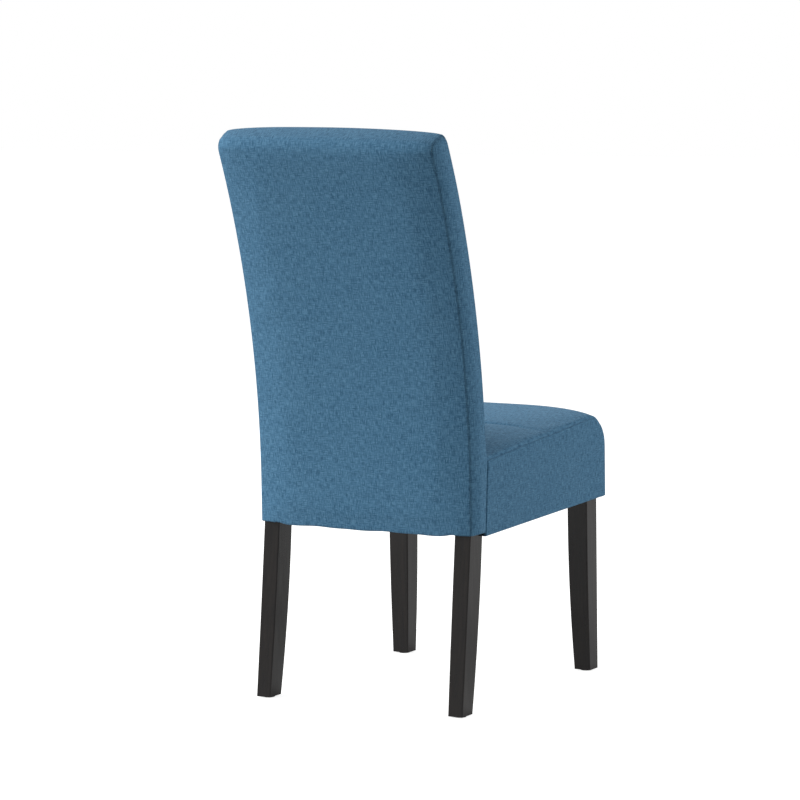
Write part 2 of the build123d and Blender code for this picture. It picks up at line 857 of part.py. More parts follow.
# Seat frame: corner blocks behind the front legs
with BuildPart() as corner_block_left:
    with BuildSketch(Plane.XY.offset(block_bottom)):
        with BuildLine():
            Polyline(
                (side_rail_inner, front_rail_rear + block_outer),
                (side_rail_inner, front_rail_rear + block_inner),
                (side_rail_inner - block_inner, front_rail_rear),
                (side_rail_inner - block_outer, front_rail_rear),
                close=True,
            )
        make_face()
    extrude(amount=corner_block_height)
    for height in hanger_heights:
        with BuildSketch(hanger_plane(height)):
            Circle(bolt_radius + bolt_clearance)
        extrude(amount=corner_block_depth, mode=Mode.SUBTRACT)
    with BuildSketch(Plane.YZ.offset(side_rail_inner)):
        with Locations(*side_screw_spots):
            Circle(screw_radius + hole_clearance)
    extrude(amount=-screw_seat, mode=Mode.SUBTRACT)
    with BuildSketch(Plane.YZ.offset(side_rail_inner - screw_seat)):
        with Locations(*side_screw_spots):
            Circle(screw_head_radius + hole_clearance)
    extrude(amount=-block_inner, mode=Mode.SUBTRACT)
    with BuildSketch(Plane.XZ.offset(-front_rail_rear)):
        with Locations(*front_screw_left):
            Circle(screw_radius + hole_clearance)
    extrude(amount=-screw_seat, mode=Mode.SUBTRACT)
    with BuildSketch(Plane.XZ.offset(-front_rail_rear - screw_seat)):
        with Locations(*front_screw_left):
            Circle(screw_head_radius + hole_clearance)
    extrude(amount=-block_inner, mode=Mode.SUBTRACT)
corner_block_left.part.label = "corner_block_left"
export_step(corner_block_left.part, "parts/corner_block_left.step")

with BuildPart() as corner_block_right:
    mirror(corner_block_left.part, about=Plane.YZ)
corner_block_right.part.label = "corner_block_right"
export_step(corner_block_right.part, "parts/corner_block_right.step")

with BuildPart() as corner_block_screws:
    with BuildSketch(Plane.YZ.offset(side_rail_inner - screw_seat)):
        with Locations(*side_screw_spots):
            Circle(screw_radius)
    extrude(amount=screw_seat + screw_rail_reach)
    with BuildSketch(Plane.YZ.offset(side_rail_inner - screw_seat)):
        with Locations(*side_screw_spots):
            Circle(screw_head_radius)
    extrude(amount=-screw_head_height)
    with BuildSketch(Plane.XZ.offset(-front_rail_rear - screw_seat)):
        with Locations(*front_screw_left):
            Circle(screw_radius)
    extrude(amount=screw_seat + screw_rail_reach)
    with BuildSketch(Plane.XZ.offset(-front_rail_rear - screw_seat)):
        with Locations(*front_screw_left):
            Circle(screw_head_radius)
    extrude(amount=-screw_head_height)
    mirror(about=Plane.YZ)
corner_block_screws.part.label = "corner_block_screws"
export_step(corner_block_screws.part, "parts/corner_block_screws.step")

# Seat frame: straps, lengthwise ones on the rails and crosswise ones over them
with BuildPart() as seat_long_straps:
    for index in range(long_strap_count):
        middle = (index - (long_strap_count - 1) / 2) * long_strap_pitch
        with BuildSketch(Plane.YZ.offset(middle - seat_strap_width / 2)):
            with BuildLine():
                draw(*seat_slab(
                    leg_front + strap_end_room,
                    rear_rail_rear - strap_end_room,
                    seat_rail_height,
                    seat_rail_height + webbing_thickness,
                ))
            make_face()
        extrude(amount=seat_strap_width)
seat_long_straps.part.label = "seat_long_straps"
export_step(seat_long_straps.part, "parts/seat_long_straps.step")

with BuildPart() as seat_cross_straps:
    for index in range(cross_strap_count):
        middle = (leg_rear + rear_rail_front) / 2 + (index - (cross_strap_count - 1) / 2) * cross_strap_pitch
        with BuildSketch(Plane.YZ):
            with BuildLine():
                draw(*seat_slab(
                    middle - seat_strap_width / 2,
                    middle + seat_strap_width / 2,
                    seat_rail_height + webbing_thickness,
                    seat_rail_height + 2 * webbing_thickness,
                ))
            make_face()
        extrude(amount=frame_half - strap_end_room, both=True)
seat_cross_straps.part.label = "seat_cross_straps"
export_step(seat_cross_straps.part, "parts/seat_cross_straps.step")

# Dust cover under the rails, cut out round the front legs
with BuildPart() as dust_cover:
    with BuildSketch(Plane.YZ):
        with BuildLine():
            draw(*seat_slab(
                leg_front + dust_cover_inset,
                rear_rail_rear - dust_cover_inset,
                -dust_cover_thickness,
                0,
            ))
        make_face()
    extrude(amount=frame_half - dust_cover_inset, both=True)
    with BuildSketch(Plane.XY):
        with Locations((frame_half, leg_front), (-frame_half, leg_front)):
            Rectangle(2 * (front_leg_top + dust_cover_notch_room), 2 * (front_leg_top + dust_cover_notch_room))
    extrude(amount=back_side_height, mode=Mode.SUBTRACT)
dust_cover.part.label = "dust_cover"
export_step(dust_cover.part, "parts/dust_cover.step")

# Front legs
with BuildPart() as front_leg_left:
    with BuildSketch(Plane.XZ.offset(-leg_rear)):
        with BuildLine():
            draw(*leg_taper(frame_half, leg_inner, frame_half - front_foot, leg_top))
        make_face()
    extrude(amount=front_leg_top)
    with BuildSketch(Plane.YZ):
        with BuildLine():
            draw(*leg_taper(leg_front, leg_rear, leg_front + front_foot, leg_top))
        make_face()
    extrude(amount=chair_width, mode=Mode.INTERSECT)
    long_edges = front_leg_left.edges().filter_by(lambda edge: edge.length > long_edge)
    fillet(long_edges, leg_edge_round)
    with BuildSketch(Plane.XY.offset(rail_bottom(leg_rear))):
        with BuildLine():
            Polyline(
                (leg_inner, leg_rear - corner_chamfer),
                (leg_inner + corner_chamfer, leg_rear),
                (leg_inner, leg_rear),
                close=True,
            )
        make_face()
    extrude(amount=seat_rail_height, mode=Mode.SUBTRACT)
    for height in hanger_heights:
        with BuildSketch(hanger_plane(height).offset(corner_block_depth)):
            Circle(bolt_radius + hole_clearance)
        extrude(amount=hanger_leg_reach + hole_clearance, mode=Mode.SUBTRACT)
    with BuildSketch(Plane.XY.offset(glide_height)):
        with Locations(front_foot_spot):
            Circle(glide_pin_radius + hole_clearance)
    extrude(amount=glide_pin_length + hole_clearance, mode=Mode.SUBTRACT)
front_leg_left.part.label = "front_leg_left"
export_step(front_leg_left.part, "parts/front_leg_left.step")

with BuildPart() as front_leg_right:
    mirror(front_leg_left.part, about=Plane.YZ)
front_leg_right.part.label = "front_leg_right"
export_step(front_leg_right.part, "parts/front_leg_right.step")

# Hanger bolts with washers and nuts
with BuildPart() as hanger_bolts:
    for height in hanger_heights:
        with BuildSketch(hanger_plane(height).offset(-hanger_tail)):
            Circle(bolt_radius)
        extrude(amount=hanger_tail + corner_block_depth + hanger_leg_reach)
    mirror(about=Plane.YZ)
hanger_bolts.part.label = "hanger_bolts"
export_step(hanger_bolts.part, "parts/hanger_bolts.step")

with BuildPart() as hanger_washers:
    for height in hanger_heights:
        with BuildSketch(hanger_plane(height)):
            Circle(washer_radius)
            Circle(bolt_radius + bolt_clearance, mode=Mode.SUBTRACT)
        extrude(amount=-washer_thickness)
    mirror(about=Plane.YZ)
hanger_washers.part.label = "hanger_washers"
export_step(hanger_washers.part, "parts/hanger_washers.step")

with BuildPart() as hanger_nuts:
    for height in hanger_heights:
        with BuildSketch(hanger_plane(height).offset(-washer_thickness)):
            RegularPolygon(bolt_head_radius, 6)
            Circle(bolt_radius + hole_clearance, mode=Mode.SUBTRACT)
        extrude(amount=-nut_height)
    mirror(about=Plane.YZ)
hanger_nuts.part.label = "hanger_nuts"
export_step(hanger_nuts.part, "parts/hanger_nuts.step")

# Bolts that pull the seat to the posts, with washers and barrel nuts
with BuildPart() as seat_bolts:
    with BuildSketch(Plane.XZ.offset(-seat_bolt_start)):
        with Locations(*seat_bolt_spots):
            Circle(bolt_radius)
    extrude(amount=seat_bolt_start - seat_bolt_end)
    with BuildSketch(Plane.XZ.offset(-seat_bolt_start)):
        with Locations(*seat_bolt_spots):
            RegularPolygon(bolt_head_radius, 6)
    extrude(amount=bolt_head_height)
seat_bolts.part.label = "seat_bolts"
export_step(seat_bolts.part, "parts/seat_bolts.step")

with BuildPart() as seat_bolt_washers:
    with BuildSketch(Plane.XZ.offset(-rear_rail_front)):
        with Locations(*seat_bolt_spots):
            Circle(washer_radius)
            Circle(bolt_radius + bolt_clearance, mode=Mode.SUBTRACT)
    extrude(amount=washer_thickness)
seat_bolt_washers.part.label = "seat_bolt_washers"
export_step(seat_bolt_washers.part, "parts/seat_bolt_washers.step")

with BuildPart() as barrel_nuts:
    with BuildSketch(Plane.YZ.offset(barrel_nut_inner)):
        with Locations(*barrel_nut_spots):
            Circle(barrel_nut_radius)
    extrude(amount=barrel_nut_length)
    with BuildSketch(Plane.XZ.offset(-back_rear)):
        with Locations(*seat_bolt_left):
            Circle(bolt_radius + hole_clearance)
    extrude(amount=back_thickness, mode=Mode.SUBTRACT)
    mirror(about=Plane.YZ)
barrel_nuts.part.label = "barrel_nuts"
export_step(barrel_nuts.part, "parts/barrel_nuts.step")

# Foot glides with a pin up into each leg
with BuildPart() as foot_glides:
    foot_spots = mirrored([rear_foot_spot, front_foot_spot])
    with BuildSketch(Plane.XY):
        with Locations(*foot_spots):
            Circle(glide_radius)
    extrude(amount=glide_height)
    with BuildSketch(Plane.XY.offset(glide_height)):
        with Locations(*foot_spots):
            Circle(glide_pin_radius)
    extrude(amount=glide_pin_length)
foot_glides.part.label = "foot_glides"
export_step(foot_glides.part, "parts/foot_glides.step")
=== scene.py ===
import bmesh
import bpy
import cmath
import math
from mathutils import Matrix, Vector, noise


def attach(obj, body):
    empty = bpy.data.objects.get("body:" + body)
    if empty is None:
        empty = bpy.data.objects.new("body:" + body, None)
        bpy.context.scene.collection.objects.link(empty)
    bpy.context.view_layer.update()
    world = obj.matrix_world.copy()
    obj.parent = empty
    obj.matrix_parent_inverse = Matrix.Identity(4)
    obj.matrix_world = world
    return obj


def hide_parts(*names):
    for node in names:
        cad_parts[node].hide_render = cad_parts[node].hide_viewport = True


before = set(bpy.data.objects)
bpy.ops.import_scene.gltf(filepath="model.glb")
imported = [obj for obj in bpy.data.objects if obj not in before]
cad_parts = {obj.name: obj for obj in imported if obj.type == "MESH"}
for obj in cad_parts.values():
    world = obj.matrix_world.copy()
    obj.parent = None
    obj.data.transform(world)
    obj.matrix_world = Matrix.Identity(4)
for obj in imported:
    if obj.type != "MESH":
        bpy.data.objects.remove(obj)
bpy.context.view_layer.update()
scene = bpy.context.scene
hands = {"Left": 1, "Right": -1}  # the chair's own left is at +X
print("frame loaded:", len(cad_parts), "nodes")

# chair sizes in metres, the same ones the solids are made from
chair = {
    "width": 0.460, "seatDepth": 0.466, "backThick": 0.054, "sideHeight": 1.0545,
    "backBottom": 0.328, "kneeHeight": 0.400, "bend": 1.640,
    "rearRound": 0.018, "frontRound": 0.012, "crest": 0.004,
    "frontCrown": 0.016, "topCrown": 0.007, "rearCrown": 0.005, "lowerShare": 0.8,
    "seamRise": 0.360, "contact": 0.096,
    "seatBottom": 0.321, "seatSlope": 0.03, "seatTop": 0.463, "seatTopSlope": 0.08,
    "seatCrown": 0.015, "rearShare": 0.95, "frontShare": 0.95, "noseCrown": 0.004,
    "noseRound": 0.062, "seatSeam": 0.236, "puff": 0.0025,
    "channelHalf": 0.007, "edgeCrown": 0.05, "cloth": 0.0015, "gap": 0.0003, "wadding": 0.001,
    "frame": 0.220, "postThick": 0.040, "postTopDrop": 0.023,
    "legSetback": 0.025, "legWidth": 0.042, "railHeight": 0.078, "webbing": 0.0015,
}
halfWidth = chair["width"] / 2
coverHalf = halfWidth - chair["cloth"]
skinGap = chair["cloth"] + chair["gap"]
frontRadius = chair["bend"] + chair["backThick"]
topLever = frontRadius - chair["frontRound"]
topLift = chair["sideHeight"] - chair["kneeHeight"] - chair["frontRound"]
topAngle = math.asin(topLift / math.hypot(topLever, chair["frontRound"]))
topAngle += math.atan2(chair["frontRound"], topLever)
backRake = chair["bend"] * (1 - math.cos(topAngle)) + chair["rearCrown"]
backRake -= chair["rearRound"] * (math.cos(topAngle) + math.sin(topAngle) - 1)
wholeDepth = chair["noseCrown"] + chair["seatDepth"] + chair["backThick"] + backRake
seatFront = chair["noseCrown"] - wholeDepth / 2
joint = seatFront + chair["seatDepth"]  # seat meets back here
backRear = joint + chair["backThick"]
bendCentre = backRear + chair["bend"]
seatSeamY = seatFront + chair["seatSeam"]
seamAngle = chair["seamRise"] / frontRadius
legFront = seatFront + chair["legSetback"]
legRear = legFront + chair["legWidth"]
postFront = skinGap + chair["wadding"] + chair["gap"] + chair["postThick"]
strapFront = postFront + chair["webbing"]
postTopAngle = topAngle - chair["postTopDrop"] / frontRadius


def smooth(value, low, high):
    t = min(max((value - low) / (high - low), 0.0), 1.0)
    return t * t * (3 - 2 * t)


def mixed(one, two, share):
    return tuple(p + (q - p) * share for p, q in zip(one, two))


def toward(start, target, distance):
    return mixed(start, target, distance / math.dist(start, target))


def evenly(count):
    return [i / count for i in range(count + 1)]


def between(low, high, count):
    return [low + (high - low) * share for share in evenly(count)]


# the points of an outline, put at one place across
def at(x, line):
    return [(x, y, z) for y, z in line]


def ruffle(x, y, pitch, seed):
    return noise.noise(Vector((x * pitch, y * pitch, seed)))


def crownShare(share):
    return max(1 - share ** 4, chair["edgeCrown"])


def shareAt(x):
    return min(1.0, abs(x) / coverHalf)


def backPoint(depth, angle):
    radius = chair["bend"] + depth
    return (bendCentre - radius * math.cos(angle), chair["kneeHeight"] + radius * math.sin(angle))


def seatBottom(y):
    return chair["seatBottom"] + (joint - y) * chair["seatSlope"]


def seatSideTop(y):
    return chair["seatTop"] + (joint - y) * chair["seatTopSlope"]


def railTop(y):
    return seatBottom(y) + skinGap + chair["railHeight"]


# rounded corner at the top of the back: where the face ends, where the crest starts, the centre
def topCorner(depth, radius, crest):
    reach = chair["bend"] + depth
    turn = crest - math.asin(radius / reach)
    return turn, math.sqrt(reach ** 2 - radius ** 2) - chair["bend"], backPoint(depth, turn)


# outline of the back at a share of its half width: rear hem, over the top, front hem
def backSkin(share, inset):
    crown = crownShare(share)
    rearDepth = inset - chair["rearCrown"] * crown
    frontDepth = chair["backThick"] - inset
    topDepth = frontDepth + chair["topCrown"] * crown
    fullDepth = frontDepth + chair["frontCrown"] * crown
    lowDepth = frontDepth + chair["lowerShare"] * chair["frontCrown"] * crown
    crest = topAngle + (chair["crest"] * crown - inset) / frontRadius
    rearRound = chair["rearRound"] - inset
    frontRound = chair["frontRound"] - inset
    rearTurn, rearFlat, rearCentre = topCorner(rearDepth + rearRound, rearRound, crest)
    frontTurn, frontFlat, frontCentre = topCorner(topDepth - frontRound, frontRound, crest)
    seamStep = chair["channelHalf"] / frontRadius
    contact = chair["contact"] / frontRadius
    steps = [
        (backPoint(rearDepth, 0),),
        (backPoint(rearDepth, rearTurn / 2), backPoint(rearDepth, rearTurn)),
        (toward(rearCentre, backPoint(rearDepth, crest), rearRound), backPoint(rearFlat, crest)),
        (backPoint(frontFlat, crest),),
        (toward(frontCentre, backPoint(topDepth, crest), frontRound), backPoint(topDepth, frontTurn)),
        (backPoint(fullDepth, (frontTurn + seamAngle) / 2), backPoint(fullDepth, seamAngle + seamStep)),
        (backPoint(fullDepth, seamAngle),),
        (backPoint(fullDepth, seamAngle - seamStep),),
        (backPoint(lowDepth, (seamAngle + contact) / 2), backPoint(frontDepth, contact)),
        (backPoint(frontDepth, contact / 2), backPoint(frontDepth, 0)),
        ((joint + inset, chair["backBottom"]),),
    ]
    return (backRear - rearDepth, chair["backBottom"]), steps


# start, middle and end of the arc that rounds a corner
def rounded(before, corner, after, radius):
    spot = Vector(corner)
    one = (Vector(before) - spot).normalized()
    two = (Vector(after) - spot).normalized()
    half = one.angle(two) / 2
    reach = radius / math.tan(half)
    depth = radius / math.sin(half) - radius
    split = (one + two).normalized()
    return tuple(spot + one * reach), tuple(spot + split * depth), tuple(spot + two * reach)


# outline of the seat at a share of its half width: front hem, over the top, rear edge
def seatSkin(share, inset):
    crown = crownShare(share)
    rise = chair["seatCrown"] * crown
    front = seatFront - chair["noseCrown"] * crown + inset
    rear = joint - chair["gap"] - inset
    seamTop = seatSideTop(seatSeamY) + rise - inset
    frontTop = seatSideTop(seatFront) + rise * chair["frontShare"] - inset
    rearTop = seatSideTop(joint) + rise * chair["rearShare"] - inset
    foot = (front, seatBottom(seatFront))
    frontChannel = (seatSeamY - chair["channelHalf"], seamTop)
    rearChannel = (seatSeamY + chair["channelHalf"], seamTop)
    start, middle, end = rounded(foot, (front, frontTop), frontChannel, chair["noseRound"] - inset)
    puff = chair["puff"] * crown
    steps = [
        (start,),
        (middle, end),
        (((end[0] + frontChannel[0]) / 2, (end[1] + frontChannel[1]) / 2 + puff), frontChannel),
        ((seatSeamY, seamTop),),
        (rearChannel,),
        (((rearChannel[0] + rear) / 2, (seamTop + rearTop) / 2 + puff), (rear, rearTop)),
    ]
    return foot, steps


# point on one step of an outline, a line or an arc through its middle point
def onStep(start, step, t):
    if len(step) == 1:
        return mixed(start, step[0], t)
    a, b, c = (complex(*point) for point in (start, *step))
    turn = (c - a) / (b - a)
    centre = a + (b - a) * (turn - abs(turn) ** 2) / (2j * turn.imag)
    sweep = cmath.phase((b - centre) / (a - centre)) + cmath.phase((c - centre) / (b - centre))
    spot = centre + (a - centre) * cmath.exp(1j * sweep * t)
    return (spot.real, spot.imag)


# a spot is the number of a step and the way along it
def onOutline(outline, spots):
    start, steps = outline
    starts = [start] + [step[-1] for step in steps]
    return [onStep(starts[k], steps[k], t) for k, t in spots]


def evenRun(k, count):
    return [(k, (i + 1) / count) for i in range(count)]


def evenSpots(counts, first=0):
    return [spot for k, count in enumerate(counts, first) for spot in evenRun(k, count)]


def lengths(points):
    run = [0.0]
    for one, two in zip(points, points[1:]):
        run.append(run[-1] + math.dist(one, two))
    return run


def resample(points, fractions):
    run = lengths(points)
    result, k = [], 0
    for fraction in fractions:
        target = fraction * run[-1]
        while k < len(run) - 2 and run[k + 1] < target:
            k += 1
        share = (target - run[k]) / max(run[k + 1] - run[k], 1e-9)
        result.append(mixed(points[k], points[k + 1], share))
    return result


def nearest(point, line):
    best = 1.0
    px, py = point
    for (ax, ay), (bx, by) in zip(line, line[1:]):
        dx, dy = bx - ax, by - ay
        t = ((px - ax) * dx + (py - ay) * dy) / max(dx * dx + dy * dy, 1e-12)
        t = max(0.0, min(1.0, t))
        best = min(best, math.hypot(px - ax - dx * t, py - ay - dy * t))
    return best


# sewn edges: two panels round into a groove; a is the way in from the side, d from the face
seams = {
    "rear": {"round": 0.0018, "angle": 82, "groove": 0.0003, "width": 0.0016, "faceSoft": 0.0036,
             "faceReach": 0.036, "sideSoft": 0.0092, "sideReach": 0.036, "sideFull": 0.0028},
    "front": {"round": 0.006, "angle": 60, "groove": 0.0016, "width": 0.0017, "faceSoft": 0.0020,
              "faceReach": 0.026, "sideSoft": 0.0022, "sideReach": 0.024, "sideFull": 0.0016},
    "seat": {"round": 0.007, "angle": 50, "groove": 0.0030, "width": 0.0024, "faceSoft": 0.0024,
             "faceReach": 0.030, "sideSoft": 0.0008, "sideReach": 0.016, "sideFull": 0.0},
}


def faceDrop(kind, a):
    return seams[kind]["faceSoft"] * max(0.0, 1 - a / seams[kind]["faceReach"]) ** 2


def roundedEdge(kind, run):
    r = seams[kind]["round"]
    phi = math.radians(seams[kind]["angle"]) + run / r
    if phi > math.pi / 2:
        a, d, normal = r + (phi - math.pi / 2) * r, 0.0, (0.0, 1.0)
    elif phi < 0:
        a, d, normal = 0.0, r - phi * r, (1.0, 0.0)
    else:
        normal = (math.cos(phi), math.sin(phi))
        a, d = r * (1 - normal[0]), r * (1 - normal[1])
    soft = seams[kind]["sideSoft"] * max(0.0, 1 - d / seams[kind]["sideReach"]) ** 2
    return a + soft - seams[kind]["sideFull"], d + faceDrop(kind, a), normal


def edgeProfile(kind, run):
    a, d, normal = roundedEdge(kind, run)
    groove = seams[kind]["groove"] * math.exp(-(run / seams[kind]["width"]) ** 2)
    return a + groove * normal[0], d + groove * normal[1]


seamSpot = {kind: edgeProfile(kind, 0.0) for kind in seams}
faceEdge = {
    "runs": [0.0, 0.0006, 0.0013, 0.0022, 0.0034, 0.005, 0.0072, 0.0102, 0.0145, 0.0205],
    "allowance": [(0.003, 0.006), (0.0004, 0.0005)],  # cloth turned in behind the seam
    "width": 0.03,
}


def mirrored(left):
    return [(-x, d) for x, d in left] + [(x, d) for x, d in reversed(left[:-1])]


# columns across a panel, each with its place and inset for every kind of edge named
def panelColumns(pitch, kinds):
    count = round((halfWidth - faceEdge["width"]) / pitch)
    columns = []
    for kind in kinds:
        half = [edgeProfile(kind, run) for run in faceEdge["runs"]]
        last = half[-1][0]
        for i in range(1, count + 1):
            a = last + (halfWidth - last) * i / count
            half.append((a, faceDrop(kind, a)))
        turned = [(half[0][0] + a, half[0][1] + d) for a, d in faceEdge["allowance"]]
        columns.append(mirrored([(halfWidth - a, d) for a, d in turned + half]))
    return list(zip(*columns))


# the back's edge changes from the rear kind to the front kind across its flat top
def towardFront(k, t):
    return 0.0 if k < 3 else t if k == 3 else 1.0


# the filling rounds the flat top of the back and pushes its rear face out
stuffing = {"top": 0.0036, "rear": 0.0030, "shoulder": 0.75}


def stuffed(k, t, point):
    shoulder = stuffing["shoulder"]
    rise = {2: shoulder * smooth(t, 0.1, 1.0), 3: shoulder + (1 - shoulder) * math.sin(math.pi * t),
            4: shoulder * (1 - smooth(t, 0.0, 0.8))}
    lift = stuffing["top"] * rise.get(k, 0.0)
    out = stuffing["rear"] * {0: 1.0, 1: 1.0, 2: 1 - t}.get(k, 0.0)
    return (point[0] + lift * math.sin(topAngle) + out, point[1] + lift * math.cos(topAngle))


# camera from the photo's viewing angle
view = {"azimuth": 210.715, "down": 6.537, "roll": -0.83, "lens": 155.4, "sensor": 36, "reach": 100,
        "spot": (-3.24575, 5.52848, 1.27772)}


def placeCamera():
    place = Matrix.Translation(view["spot"])
    for degrees, axis in ((view["azimuth"], "Z"), (90 - view["down"], "X"), (view["roll"], "Z")):
        place @= Matrix.Rotation(math.radians(degrees), 4, axis)
    data = bpy.data.cameras.new("photoCamera")
    data.lens = view["lens"]
    data.sensor_width = view["sensor"]
    data.sensor_fit = "HORIZONTAL"
    data.clip_end = view["reach"]
    camera = bpy.data.objects.new("photoCamera", data)
    scene.collection.objects.link(camera)
    camera.matrix_world = place
    scene.camera = camera


placeCamera()
print("camera placed")


# lays out the nodes of one tree; an input takes a number or another node's socket
class NodeBench:
    def __init__(self, tree):
        self.tree = tree

    def feed(self, socket, value):
        if isinstance(value, bpy.types.NodeSocket):
            self.tree.links.new(value, socket)
        else:
            socket.default_value = value

    def add(self, kind, inputs=None, **values):
        node = self.tree.nodes.new(kind)
        for key, value in values.items():
            setattr(node, key, value)
        for key, value in (inputs or {}).items():
            self.feed(node.inputs[key], value)
        return node

    def math(self, operation, one, two=0.0):
        return self.add("ShaderNodeMath", {0: one, 1: two}, operation=operation).outputs[0]


# lays out one material
class Sketcher(NodeBench):
    def __init__(self, name):
        self.material = bpy.data.materials.new(name)
        self.material.use_nodes = True
        super().__init__(self.material.node_tree)
        self.tree.nodes.clear()
        self.shader = self.add("ShaderNodeBsdfPrincipled")
        self.add("ShaderNodeOutputMaterial", {"Surface": self.shader.outputs[0]})

    def set(self, **values):
        for key, value in values.items():
            self.feed(self.shader.inputs[key.replace("_", " ")], value)

    def objectCoords(self):
        return self.add("ShaderNodeTexCoord").outputs["Object"]

    def grain(self, coords, scale, detail, rough):
        place = self.add("ShaderNodeMapping", {"Vector": coords, "Scale": scale})
        inputs = {"Vector": place.outputs[0], "Scale": 1.0, "Detail": detail, "Roughness": rough}
        return self.add("ShaderNodeTexNoise", inputs).outputs["Fac"]

    def span(self, value, low, high, toLow=0.0, toHigh=1.0):
        inputs = {"Value": value, "From Min": low, "From Max": high, "To Min": toLow, "To Max": toHigh}
        return self.add("ShaderNodeMapRange", inputs, clamp=True).outputs["Result"]

    def blend(self, factor, *colours):
        one, two = ((*c, 1.0) if isinstance(c, tuple) else c for c in colours)
        return self.add("ShaderNodeMix", {0: factor, 6: one, 7: two}, data_type="RGBA").outputs[2]

    def bump(self, height, strength, distance):
        node = self.add("ShaderNodeBump", {"Height": height, "Strength": strength, "Distance": distance})
        self.set(Normal=node.outputs[0])


# woven linen look: slubs along warp and weft, fine basket weave, soft mottling
linen = {
    "mid": (0.058, 0.152, 0.250), "dark": (0.018, 0.064, 0.122), "pale": (0.110, 0.240, 0.356),
    "pitch": 0.0011, "slubWide": 540.0, "slubLong": 80.0, "fleck": 700.0, "cloud": 9.0,
    "paleShare": 0.75, "darkShare": 0.95, "fleckShare": 0.3, "cloudShare": 0.10,
    "weave": 0.35, "bump": (0.35, 0.0005), "rough": (0.84, 0.97),
}


def makeLinen(name):
    s = Sketcher(name)
    coords = s.add("ShaderNodeUVMap", uv_map="clothUV").outputs["UV"]
    wide, long = linen["slubWide"], linen["slubLong"]
    warp = s.grain(coords, (wide, long, wide), 3.0, 0.6)
    weft = s.grain(coords, (long, wide, wide), 3.0, 0.6)
    fleck = s.grain(coords, (linen["fleck"],) * 3, 1.0, 0.5)
    cloud = s.grain(coords, (linen["cloud"],) * 3, 3.0, 0.55)
    pale = s.math("MAXIMUM", s.span(warp, 0.47, 0.32), s.span(weft, 0.47, 0.32))
    dark = s.math("MAXIMUM", s.span(warp, 0.50, 0.66), s.span(weft, 0.52, 0.68))
    tone = s.blend(s.math("MULTIPLY", pale, linen["paleShare"]), linen["mid"], linen["pale"])
    tone = s.blend(s.math("MULTIPLY", dark, linen["darkShare"]), tone, linen["dark"])
    tone = s.blend(s.span(fleck, 0.3, 0.7, 0.0, linen["fleckShare"]), tone, linen["dark"])
    tone = s.blend(s.span(cloud, 0.3, 0.7, 0.0, linen["cloudShare"]), tone, linen["pale"])
    split = s.add("ShaderNodeSeparateXYZ", {0: coords})
    beat = math.tau / linen["pitch"]
    across, along = (s.math("SINE", s.math("MULTIPLY", split.outputs[i], beat)) for i in (0, 1))
    weave = s.math("MULTIPLY", s.math("MULTIPLY", across, along), linen["weave"])
    s.bump(s.math("ADD", weave, s.math("ADD", warp, weft)), *linen["bump"])
    s.set(Base_Color=tone, Roughness=s.span(warp, 0.2, 0.8, *linen["rough"]), Specular_IOR_Level=0.12,
          Sheen_Weight=0.08, Sheen_Roughness=0.45, Sheen_Tint=(0.65, 0.85, 1.0, 1.0))
    return s.material


# near-black lacquer with a faint grain and slow ripples
lacquer = {"black": (0.0075, 0.0068, 0.0066), "brown": (0.013, 0.0105, 0.0095), "grain": (180, 180, 7),
           "ripple": (26, 26, 9), "rough": (0.14, 0.24), "bump": (0.3, 0.0011)}


def makeLacquer(name):
    s = Sketcher(name)
    coords = s.objectCoords()
    grain = s.grain(coords, lacquer["grain"], 4.0, 0.6)
    ripple = s.grain(coords, lacquer["ripple"], 2.0, 0.5)
    s.bump(s.math("ADD", s.math("MULTIPLY", grain, 0.5), s.math("MULTIPLY", ripple, 2.2)), *lacquer["bump"])
    s.set(Base_Color=s.blend(s.span(grain, 0.35, 0.7), lacquer["black"], lacquer["brown"]),
          Roughness=s.span(ripple, 0.3, 0.7, *lacquer["rough"]), Specular_IOR_Level=0.16,
          Coat_Weight=0.2, Coat_Roughness=0.1, Coat_IOR=1.45)
    return s.material


# bare timber, its grain along one axis
timber = {"pale": (0.60, 0.43, 0.26), "deep": (0.42, 0.27, 0.14), "across": 95.0, "along": 4.5,
          "broad": 0.22, "rough": (0.5, 0.72), "bump": (0.25, 0.0005)}


def makeTimber(name, along):
    s = Sketcher(name)
    coords = s.objectCoords()
    scale = [timber["across"]] * 3
    scale[along] = timber["along"]
    grain = s.grain(coords, scale, 4.0, 0.62)
    broad = s.grain(coords, [v * timber["broad"] for v in scale], 2.0, 0.5)
    tone = s.math("ADD", s.math("MULTIPLY", grain, 0.65), s.math("MULTIPLY", broad, 0.35))
    s.bump(grain, *timber["bump"])
    s.set(Base_Color=s.blend(s.span(tone, 0.36, 0.64), timber["pale"], timber["deep"]),
          Roughness=s.span(grain, 0.2, 0.8, *timber["rough"]))
    return s.material


# two tones in one grain, with a roughness range and a bump strength and depth
def makePlain(name, tones, scale, rough, bump, **more):
    s = Sketcher(name)
    tone = s.grain(s.objectCoords(), scale, 4.0, 0.6)
    s.bump(tone, *bump)
    colour = s.blend(s.span(tone, 0.3, 0.7), *tones)
    s.set(Base_Color=colour, Roughness=s.span(tone, 0.3, 0.7, *rough), **more)
    return s.material


